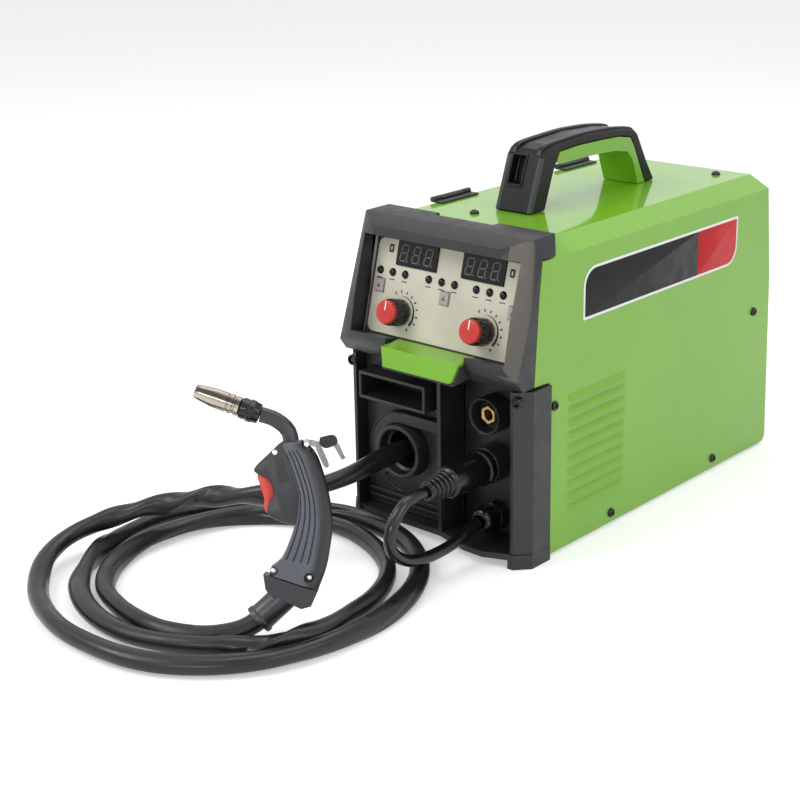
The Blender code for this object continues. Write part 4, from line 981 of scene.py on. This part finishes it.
class WELDER_OT_case_details(bpy.types.Operator):
    """Adds the bare side plate, the cover screws and the handle's rails and slot rim"""
    bl_idname = "welder.case_details"
    bl_label = "Case Details"

    def execute(self, context):
        self.side_plate()
        self.screws()
        self.handle_rails()
        self.window_rim()
        return {"FINISHED"}

    def handle_rails(self):
        """Raised rails along both edges of the grip, swept along its upper line: a flat
        rounded section whose height fades at both ends."""
        line = smooth_line([(0, y, z) for y, z in HANDLE_LINE], 1.5)
        s = np.linspace(0, 1, len(line))[:, None]
        fade = np.clip(np.minimum(s / 0.05, (1 - s) / 0.05), 0.05, 1) ** 0.5
        c, d = directions(around(28)).T
        across = 3.1 * np.sign(c) * np.abs(c) ** 0.6
        high = 1.7 * np.sign(d) * np.abs(d) ** 0.7 * fade
        normal = np.cross(frames(line, (1, 0, 0))[0], (1.0, 0.0, 0.0))
        normal *= np.sign(normal[len(line) // 2, 2])
        raised = line[:, None] + high[..., None] * normal[:, None]
        for name, x in (("left", -12.6), ("right", 12.6)):
            points = raised + [1.0, 0.0, 0.0] * (x + across)[None, :, None]
            surface(f"handle_rail_{name}", points, "handle", smooth=60)

    def window_rim(self):
        """Thin raised lip round the slot in the handle's front leg."""
        low, high = np.array(LEG_FACE)
        up = (high - low) / np.linalg.norm(high - low)
        place = frame_of((1, 0, 0), (0, *up), (0, -up[1], up[0]), (0, *low))
        outer = rounded_rectangle(-12.0, 4.0, 20.4, 48.2, 2.0, 6)
        inner = rounded_rectangle(-10.4, 2.4, 21.9, 46.6, 0.9, 6)
        surface("slot_rim", ring_grid(outer, inner, -0.5, 1.0, place, 0.4), "handle", ring=True)

    def side_plate(self):
        """A white border under a dark and a red field, with nothing printed on them."""
        place = shifted(RIGHT_SIDE, 0, 0, 0.05)
        slab("side_plate_border", plate_outline(0.0), 0.0, 0.25, place, "print_white", 0.1)
        y, z = plate_outline(2.2).T
        dark, red = np.minimum(y, PLATE_SPLIT), np.maximum(y, PLATE_SPLIT + 0.01)
        for name, edge in (("dark", dark), ("red", red)):
            slab(f"side_plate_{name}", np.stack([edge, z], -1), 0.2, 0.38, place, f"plate_{name}",
                 0.05)

    def screws(self):
        """Screws of the side, of the top and of the rear panel."""
        for number, (y, z) in enumerate(SIDE_SCREWS):
            self.screw(f"side_screw_{number + 1}", (HALF_WIDTH, y, z), (1, 0, 0))
        self.screw("top_screw", (50, 150, CASE_TOP), (0, 0, 1))
        self.screw("head_screw", (-23, -98, CASE_TOP), (0, 0, 1))
        for number, (x, y, z, slope) in enumerate(REAR_SCREWS):
            self.screw(f"rear_screw_{number + 1}", (x, y - 0.3, z), (0, 1, slope))

    def screw(self, name, spot, axis):
        """A pan head whose crown drops by a fixed depth along two crossed bars."""
        radius, height = PAN_HEAD[:, :1], PAN_HEAD[:, 1:]
        shape = turned_points(PAN_HEAD, (0, 0, 0), (0, 0, 1), 64)
        bar = np.abs(directions(around(64))).min(-1)[None, :] * radius < 0.5
        shape[..., 2] -= 1.3 * (bar & (radius < 2.1) & (height > 2))
        surface(name, placed(shape, axis_frame(spot, axis)), "gloss_black")


# ---------------------------------------------------------------- lower front

def front_arc(radius, x, z, y, angles):
    """Points of an arc that faces the front."""
    across, up = (radius * directions(angles) + (x, z)).T
    return np.stack([across, np.full_like(up, y), up], -1)


class WELDER_OT_lower_front(bpy.types.Operator):
    """Forms the port collar, its surround, the open socket, the gland nut and small trims"""
    bl_idname = "welder.lower_front"
    bl_label = "Lower Front"

    def execute(self, context):
        self.port_collar()
        self.rims()
        self.sockets()
        self.gland()
        self.post_frame()
        self.corner_screws()
        return {"FINISHED"}

    def port_collar(self):
        """The collar turned round the port: rolled rim, straight outside, stepped bore."""
        profile = [(16.5, 20), (16.5, 9.6), (17.1, 9), (18.2, 8.6), (19, 7.6), (19, 0.2),
                   (19.4, -0.6), (20.0, -0.9), (21.9, -0.9), (22.7, -0.5), (23, 0.3), (23, 15.2),
                   (26, 15.2), (26, 20)]
        made = turned("port_collar", profile, PORT, (0, 1, 0), "plastic", 96, hollow=True)
        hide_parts("port_ring")

    def rims(self):
        """Thin raised beads round the surround and below the port, and two bars under them."""
        beads = [(32.2, 90, 236, WALL_Y - 8.0), (36.5, 196, 262, WALL_Y), (40.5, 200, 262, WALL_Y)]
        for number, (radius, start, end, y) in enumerate(beads):
            turn = np.radians(np.linspace(start, end, 60))
            line = front_arc(radius, PORT[0], PORT[2], y, turn)
            points = tube_points(line, 0.8, (0, 1, 0), 12)
            surface(f"port_bead_{number + 1}", points, "plastic", smooth=180)
        for number, z in enumerate((26.5, 20.5)):
            outline = rounded_rectangle(-78.0, 5.0, z - 1.6, z + 1.6, 1.2)
            slab(f"wall_step_{number + 1}", outline, 0.02, 3.0, wall_frame(WALL_Y), "plastic", 0.8)

    def sockets(self):
        """Rolled rims on both sockets and a hexagon contact in the open one."""
        for name, z in zip(("upper", "lower"), SOCKET_HEIGHTS):
            line = front_arc(14.5, SOCKET_X, z, SOCKET_WALL_Y - 18.0, around(80))
            closed = np.vstack([line[-1], line, line[0]])
            points = tube_points(closed, 0.75, (0, 1, 0), 12)[1:-1]
            surface(f"socket_rim_{name}", points, "gloss_black", ring=True, smooth=180)
        centre = (SOCKET_X, SOCKET_WALL_Y, SOCKET_HEIGHTS[0])
        profile = [(0.4, 12.0), (4.4, 12.0), (4.4, -12.4), (4.9, -13.0), (6.3, -13.0), (6.9, -12.2),
                   (6.9, -5.6), (6.6, -5.0), (6.6, 26.0), (0.4, 26.0)]
        points = turned_points(profile, centre, (0, 1, 0), 96)
        shaped = turned_points(profile, centre, (0, 1, 0), 96, hexagon(6.9, -14.0, -5.5))
        outside = np.array(profile)[:, 0] >= 6.0
        points[outside] = shaped[outside]
        made = surface("brass_hexagon", points, "brass", ring=True, smooth=30)
        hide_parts("socket_contact")

    def gland(self):
        """Hexagon nut under a glossy dome that closes on the lead."""
        place = (SOCKET_X, SOCKET_WALL_Y, GLAND_Z)
        profile = [(5.2, 12.0), (5.2, -23.4), (6.0, -24.0), (8.2, -23.7), (9.6, -22.4),
                   (10.6, -20.2), (11.2, -17.4), (11.4, -14.0), (11.2, -10.2), (10.6, -9.6),
                   (11.2, -9.2), (11.2, -2.4), (10.9, -1.9), (12.3, -1.6), (12.5, -0.9),
                   (12.4, -0.3), (8.0, -0.3), (8.0, 12.0)]
        made = turned("gland_nut", profile, place, (0, 1, 0), "gloss_black", 96,
                      ripple=hexagon(11.2, -9.4, -2.0), hollow=True)
        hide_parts("cable_gland")

    def post_frame(self):
        """Thin raised outline of a blank label recess on the inner side of the post."""
        outer = rounded_rectangle(-179.5, -154.0, 20.5, 39.5, 1.0)
        inner = rounded_rectangle(-178.9, -154.6, 21.1, 38.9, 0.6)
        place = shifted(RIGHT_SIDE, 0, 0, POST_SIDE - HALF_WIDTH)
        surface("post_frame", ring_grid(outer, inner, -0.2, 0.5, place, 0.15), "plastic",
                ring=True)

    def corner_screws(self):
        """Recessed screws under the corners of the head: a curled lip round a dark head."""
        lip = [(2.9, 4.0), (2.9, -0.4), (3.2, -0.9), (4.1, -0.9), (4.5, -0.4), (4.5, 4.0)]
        head = [(0, 3.6), (2.8, 3.6), (2.8, 1.2), (2.2, 0.4), (1.2, 0.1), (0, 0.1)]
        for name, x in (("left", -85.0), ("right", 85.8)):
            spot = (x, -181.5, 139.0)
            turned(f"corner_lip_{name}", lip, spot, (0, 1, 0), "gloss_black", 40, hollow=True)
            turned(f"corner_screw_{name}", head, spot, (0, 1, 0), "gloss_black", 32)


# ---------------------------------------------------------------- torch

GRIP_FRONT = [(15.6, 41.9), (17.2, 47.2), (21.9, 50.8), (25.4, 54.5), (30.0, 64.0), (35.2, 79.0),
              (37.2, 93.0), (36.3, 102.0), (31.6, 117.0), (27.0, 131.0), (26.4, 136.6)]
GRIP_REAR = [(50.6, 29.8), (56.2, 44.2), (59.4, 58.6), (61.4, 72.9), (61.2, 87.3), (57.6, 107.4),
             (52.2, 124.6), (47.0, 132.6), (41.0, 137.6)]
GRIP_ROWS, GRIP_COLUMNS = 190, 150
GRIP_HALF, FRONT_ROLL, BACK_ROLL = 12.5, 1.8, 12.0
# Grooves: shares of the way across and along the grip, and their depth
GROOVES = (0.17, 0.39, 0.61, 0.83)
GROOVES_START, GROOVES_END, GROOVE_FADE = 0.145, 0.925, 0.006
GROOVE_WIDTH, GROOVE_DEPTH = 0.022, 0.9
TRIGGER_HOUSING = [(38, 136.5), (28, 137.0), (17.0, 127.8), (7.0, 118.1), (8.6, 113.8),
                   (16.5, 109.5), (20.4, 98.6), (16.4, 93.0), (17.0, 83.4), (31.5, 77.6),
                   (42, 80), (44, 98), (42, 120)]
TORCH_SCREWS = [(21.9, 128.9), (44.3, 134.0), (19.0, 44.2), (44.5, 38.8)]
TRIGGER = [(14, 115), (8.6, 113.2), (9.6, 107.5), (11.3, 101.8), (13.0, 95.5), (12.9, 88.5),
           (15.4, 85.4), (19, 86.6), (21.8, 99), (19, 110)]
NECK_END = np.array([10.9, 0.0, 156.4])
NOZZLE_WAY = np.array([-0.933, 0.0, 0.358])
HOUSING_PANEL = [(21.4, 124.6), (26.4, 125.4), (31.4, 108.6), (25.2, 106.4)]
SLEEVE = [(54.6, 138.4), (63.0, 139.6), (65.4, 135.0), (62.0, 132.8), (57.6, 131.9),
          (54.4, 134.4)]
STRAP = [(43.6, 137.2), (51.5, 135.4), (54.2, 131.0), (59.0, 119.4), (57.0, 118.2),
         (52.2, 128.4), (50.4, 132.6), (43.2, 134.6)]
HOOK_ARM = [(63.4, 0, 135.4), (66.0, 0, 131.0), (70.4, 0, 123.0)]


def resampled(points, count):
    """The smooth line through flat points, cut into a number of even steps."""
    fine = smooth_line([(x, 0.0, z) for x, z in points], 0.5)
    walked = np.linspace(0, len(fine) - 1, count)
    return np.stack([np.interp(walked, np.arange(len(fine)), fine[:, k]) for k in (0, 2)], -1)


def closed_outline(points, count):
    """The smooth line through flat points and back to the first."""
    return resampled(points + points[:1], count)[:-1]


def dish(x, z, spot, radius):
    """One inside a circle and nought outside, with a short smooth bank between."""
    away = np.hypot(x - spot[0], z - spot[1])
    return np.clip((radius - away) / 0.5 + 0.5, 0, 1)


def grip_grid(side):
    """One half of the curved grip. Each row runs from the front line to the rear line. Its
    depth rises in a small quarter circle at the front, stays level, and falls in a wide
    quarter ellipse at the back; grooves and screw wells are taken off the level part."""
    front, rear = resampled(GRIP_FRONT, GRIP_ROWS), resampled(GRIP_REAR, GRIP_ROWS)
    even = np.linspace(0, 1, GRIP_COLUMNS)
    u = (0.35 * (1 - np.cos(math.pi * even)) / 2 + 0.65 * even)[None, :]
    x = front[:, :1] * (1 - u) + rear[:, :1] * u
    z = front[:, 1:] * (1 - u) + rear[:, 1:] * u
    width = np.linalg.norm(rear - front, axis=1)[:, None]
    rise = np.sqrt(1 - (1 - np.clip(u * width / FRONT_ROLL, 0, 1)) ** 2)
    fall = np.sqrt(1 - (1 - np.clip((1 - u) * width / BACK_ROLL, 0, 1)) ** 2)
    s = np.linspace(0, 1, GRIP_ROWS)[:, None]
    top_end = np.sqrt(np.clip(1 - (np.clip(s - 0.965, 0, 1) / 0.036) ** 2, 0, 1))
    depth = GRIP_HALF * rise * fall * top_end
    across = u * width / (width - BACK_ROLL + 3.0)
    reach = np.clip((s - GROOVES_START) / GROOVE_FADE, 0, 1)
    reach = reach * np.clip((GROOVES_END - s) / GROOVE_FADE, 0, 1)
    groove = sum(np.exp(-(((across - spot) / GROOVE_WIDTH) ** 4)) for spot in GROOVES)
    depth = depth - GROOVE_DEPTH * groove * reach * (depth > 6)
    for spot in TORCH_SCREWS:
        depth = depth * (1 - 0.6 * dish(x, z, spot, 3.4))
    return np.stack([x, side * (np.maximum(depth, 0) + 0.15), z], -1)


def hexagon(size, start, end):
    """A ripple that turns the round body into a hexagon between two distances along."""
    def ripple(angle, along):
        flat = size / np.cos((angle + math.pi / 6) % (math.pi / 3) - math.pi / 6) - size
        return np.minimum(flat, size * 0.14) * ((along > start) & (along < end))
    return ripple


def collar_facets(angle, along):
    """Ten shallow facets round the middle of the collar."""
    return 0.2 * np.abs(np.cos(5 * angle)) * (along > 4.0) * (along < 9)


class WELDER_OT_torch(bpy.types.Operator):
    """Forms the torch handle, collar, nozzle and clip"""
    bl_idname = "welder.torch"
    bl_label = "Torch"

    def execute(self, context):
        for name, side in (("left", 1), ("right", -1)):
            half = surface(f"handle_half_{name}", placed(grip_grid(side), TORCH), "grip",
                           smooth=50)
            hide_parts(f"torch_shell_{name}")
            self.trigger_housing(name, side)
            self.screws(name, side)
        self.trigger()
        self.front_end()
        self.hook_sleeve()
        return {"FINISHED"}

    def trigger(self):
        """Finger lever with a hollow front edge."""
        made = slab("trigger_lever", closed_outline(TRIGGER, 120), -4.4, 4.4, self.upright(1),
                    "trigger", 1.0, "torch_trigger")
        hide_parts("torch_trigger")

    def upright(self, side):
        """Flat outlines in the torch's own side view, pulled out to one side."""
        return TORCH @ frame_of((1, 0, 0), (0, 0, 1), (0, side, 0), (0, 0, 0))

    def trigger_housing(self, name, side):
        """The dark housing round the trigger, with a small inset panel."""
        slab(f"trigger_housing_{name}", closed_outline(TRIGGER_HOUSING, 150), 0.15, 10.4,
             self.upright(side), "grip_dark", 1.4)
        slab(f"housing_panel_{name}", HOUSING_PANEL, 10.3, 10.8, self.upright(side), "inset", 0.3)

    def screws(self, name, side):
        """Pan heads sunk in their wells; the first one stands on the trigger's housing."""
        head = [(0, 0), (2.2, 0), (2.2, 0.8), (1.8, 1.5), (0.8, 1.8), (0, 1.8)]
        for number, (x, z) in enumerate(TORCH_SCREWS):
            centre = placed((x, side * (4.9 if number else 10.2), z), TORCH)
            turned(f"torch_screw_{name}_{number + 1}", head, centre, side * TORCH[:3, 1],
                   "bright", 20)

    def front_end(self):
        """The faceted collar and the grooved, tapered nozzle, turned round one axis."""
        centre = placed(NECK_END, TORCH)
        axis = TORCH[:3, :3] @ NOZZLE_WAY
        collar = [(6.0, 0.3), (6.9, 0.3), (7.3, 0.9), (7.5, 4.4), (8.1, 5.0), (8.2, 8.6),
                  (7.7, 9.2), (7.9, 12.6), (7.4, 14.6), (6.6, 15.0), (6.0, 15.0)]
        made = turned("collar_shell", collar, centre, axis, "gloss_black", 80,
                      ripple=collar_facets, hollow=True)
        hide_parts("torch_collar")
        nozzle = [(3.6, 15.4), (6.6, 15.4), (7.1, 15.8), (7.2, 18.8), (6.5, 19.4), (6.5, 20.4),
                  (7.2, 21.0), (7.2, 23.6), (6.6, 24.1), (6.6, 24.8), (7.2, 25.3), (7.2, 33.5),
                  (7.0, 36.5), (5.6, 46.0), (5.2, 48.8), (4.8, 49.6), (4.2, 49.6), (3.6, 49.0)]
        made = turned("nozzle_shell", nozzle, centre, axis, "nickel", 64, hollow=True)
        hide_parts("torch_nozzle")

    def hook_sleeve(self):
        """Black sleeve over the top of the clip, a bright strap that holds it to the grip, and
        a thicker free arm."""
        slab("hook_sleeve", closed_outline(SLEEVE, 60), -5.9, 5.9, self.upright(1),
             "gloss_black", 0.8)
        slab("hook_strap", closed_outline(STRAP, 80), -3.6, 3.6, self.upright(1), "chrome", 0.6)
        points = tube_points(smooth_line(HOOK_ARM, 0.6), 1.5, (0, 1, 0), 20)
        surface("hook_arm", placed(points, TORCH), "chrome", smooth=60)


# ---------------------------------------------------------------- stage

# Lights: name, place in metres, width, height and power
LIGHTS = (("key", (-0.9, -1.5, 1.7), 1.1, 1.1, 20.0), ("side", (1.9, -0.3, 1.2), 1.2, 1.2, 9.0),
          ("top", (0.0, 0.4, 2.2), 1.6, 1.6, 16.0), ("front", (0.7, -2.0, 0.9), 0.9, 0.16, 6.0))
LIGHTS_AIM = Vector((0, -0.1, 0.1))
FLOOR_GLOW = 0.34
ROOM_LIGHT = 0.55
WHITE = (1, 1, 1, 1)


def backdrop_rays(nodes, links):
    """One for rays from the camera and from mirror-like or clear surfaces, else nought."""
    ray = nodes.new("ShaderNodeLightPath")
    most = ray.outputs["Is Camera Ray"]
    for kind in ("Is Glossy Ray", "Is Transmission Ray"):
        either = nodes.new("ShaderNodeMath")
        either.operation = "MAXIMUM"
        links.new(most, either.inputs[0])
        links.new(ray.outputs[kind], either.inputs[1])
        most = either.outputs[0]
    return most


class WELDER_OT_stage(bpy.types.Operator):
    """Sets the camera, the pale floor and the soft lights"""
    bl_idname = "welder.stage"
    bl_label = "Stage"

    def execute(self, context):
        self.camera(context.scene)
        self.floor()
        self.lights()
        self.world(context.scene)
        context.scene.view_settings.view_transform = "Standard"
        return {"FINISHED"}

    def camera(self, scene):
        """The photographed view, by the camera's place, its three directions and its lens."""
        data = bpy.data.cameras.new("view")
        data.lens = CAMERA_LENS
        data.sensor_width = 36.0
        data.clip_end = 20.0
        eye = bpy.data.objects.new("view", data)
        turn = Matrix((CAMERA_RIGHT, CAMERA_UP, CAMERA_BACK)).transposed()
        eye.matrix_world = Matrix.Translation(Vector(CAMERA_PLACE) * MM) @ turn.to_4x4()
        scene.collection.objects.link(eye)
        scene.camera = eye

    def floor(self):
        """Pale paper that glows a little where the camera or a mirror sees it."""
        mesh = bpy.data.meshes.new("floor")
        mesh.from_pydata([(-6, -6, 0), (6, -6, 0), (6, 6, 0), (-6, 6, 0)], [], [(0, 1, 2, 3)])
        sheet = bpy.data.objects.new("floor", mesh)
        bpy.context.scene.collection.objects.link(sheet)
        paper = Recipe("floor paper", (0.86, 0.86, 0.86), 0.9)
        nodes, links = paper.tree.nodes, paper.tree.links
        plain = paper.shader.outputs[0]
        glow = paper.add("ShaderNodeEmission", {"Strength": FLOOR_GLOW})
        total = paper.add("ShaderNodeAddShader", {0: plain, 1: glow.outputs[0]})
        seen = paper.add("ShaderNodeMixShader", {
            0: backdrop_rays(nodes, links), 1: plain, 2: total.outputs[0]})
        links.new(seen.outputs[0], nodes["Material Output"].inputs["Surface"])
        mesh.materials.append(paper.made)

    def lights(self):
        """Soft rectangular lights that all aim at one point of the machine."""
        for name, place, width, height, power in LIGHTS:
            data = bpy.data.lights.new(name, "AREA")
            data.shape = "RECTANGLE"
            data.energy = power
            data.size, data.size_y = width, height
            lamp = bpy.data.objects.new(name, data)
            lamp.location = place
            lamp.rotation_euler = (LIGHTS_AIM - Vector(place)).to_track_quat("-Z", "Y").to_euler()
            bpy.context.scene.collection.objects.link(lamp)

    def world(self, scene):
        """Even light from all round, and a white backdrop for the camera and mirrors."""
        scene.world = bpy.data.worlds.new("studio")
        scene.world.use_nodes = True
        nodes, links = scene.world.node_tree.nodes, scene.world.node_tree.links
        room, seen = nodes["Background"], nodes.new("ShaderNodeBackground")
        for shader, strength in ((room, ROOM_LIGHT), (seen, 1.0)):
            shader.inputs["Color"].default_value = WHITE
            shader.inputs["Strength"].default_value = strength
        mix = nodes.new("ShaderNodeMixShader")
        links.new(backdrop_rays(nodes, links), mix.inputs["Fac"])
        links.new(room.outputs[0], mix.inputs[1])
        links.new(seen.outputs[0], mix.inputs[2])
        links.new(mix.outputs[0], nodes["World Output"].inputs["Surface"])


# ---------------------------------------------------------------- panel and run

OPERATORS = (WELDER_OT_stage, WELDER_OT_finish_nodes, WELDER_OT_cords, WELDER_OT_head,
             WELDER_OT_lower_front, WELDER_OT_case_details, WELDER_OT_torch)


class WELDER_PT_sidebar(bpy.types.Panel):
    """Lists the settings and the pieces"""
    bl_label = "Compact Welder"
    bl_idname = "WELDER_PT_sidebar"
    bl_space_type = "VIEW_3D"
    bl_region_type = "UI"
    bl_category = "Welder"

    def draw(self, context):
        for group in (context.scene.welder_colours, context.scene.welder_sizes):
            for key in group.__annotations__:
                self.layout.prop(group, key)
        for operator in OPERATORS:
            self.layout.operator(operator.bl_idname)


CLASSES = (WelderColours, WelderSizes, *OPERATORS, WELDER_PT_sidebar)


def register():
    for cls in CLASSES:
        bpy.utils.register_class(cls)
    bpy.types.Scene.welder_colours = bpy.props.PointerProperty(type=WelderColours)
    bpy.types.Scene.welder_sizes = bpy.props.PointerProperty(type=WelderSizes)


def unregister():
    del bpy.types.Scene.welder_sizes
    del bpy.types.Scene.welder_colours
    for cls in reversed(CLASSES):
        bpy.utils.unregister_class(cls)


def main():
    register()
    for operator in OPERATORS:
        group, name = operator.bl_idname.split(".")
        getattr(getattr(bpy.ops, group), name)()


if __name__ == "__main__":
    main()
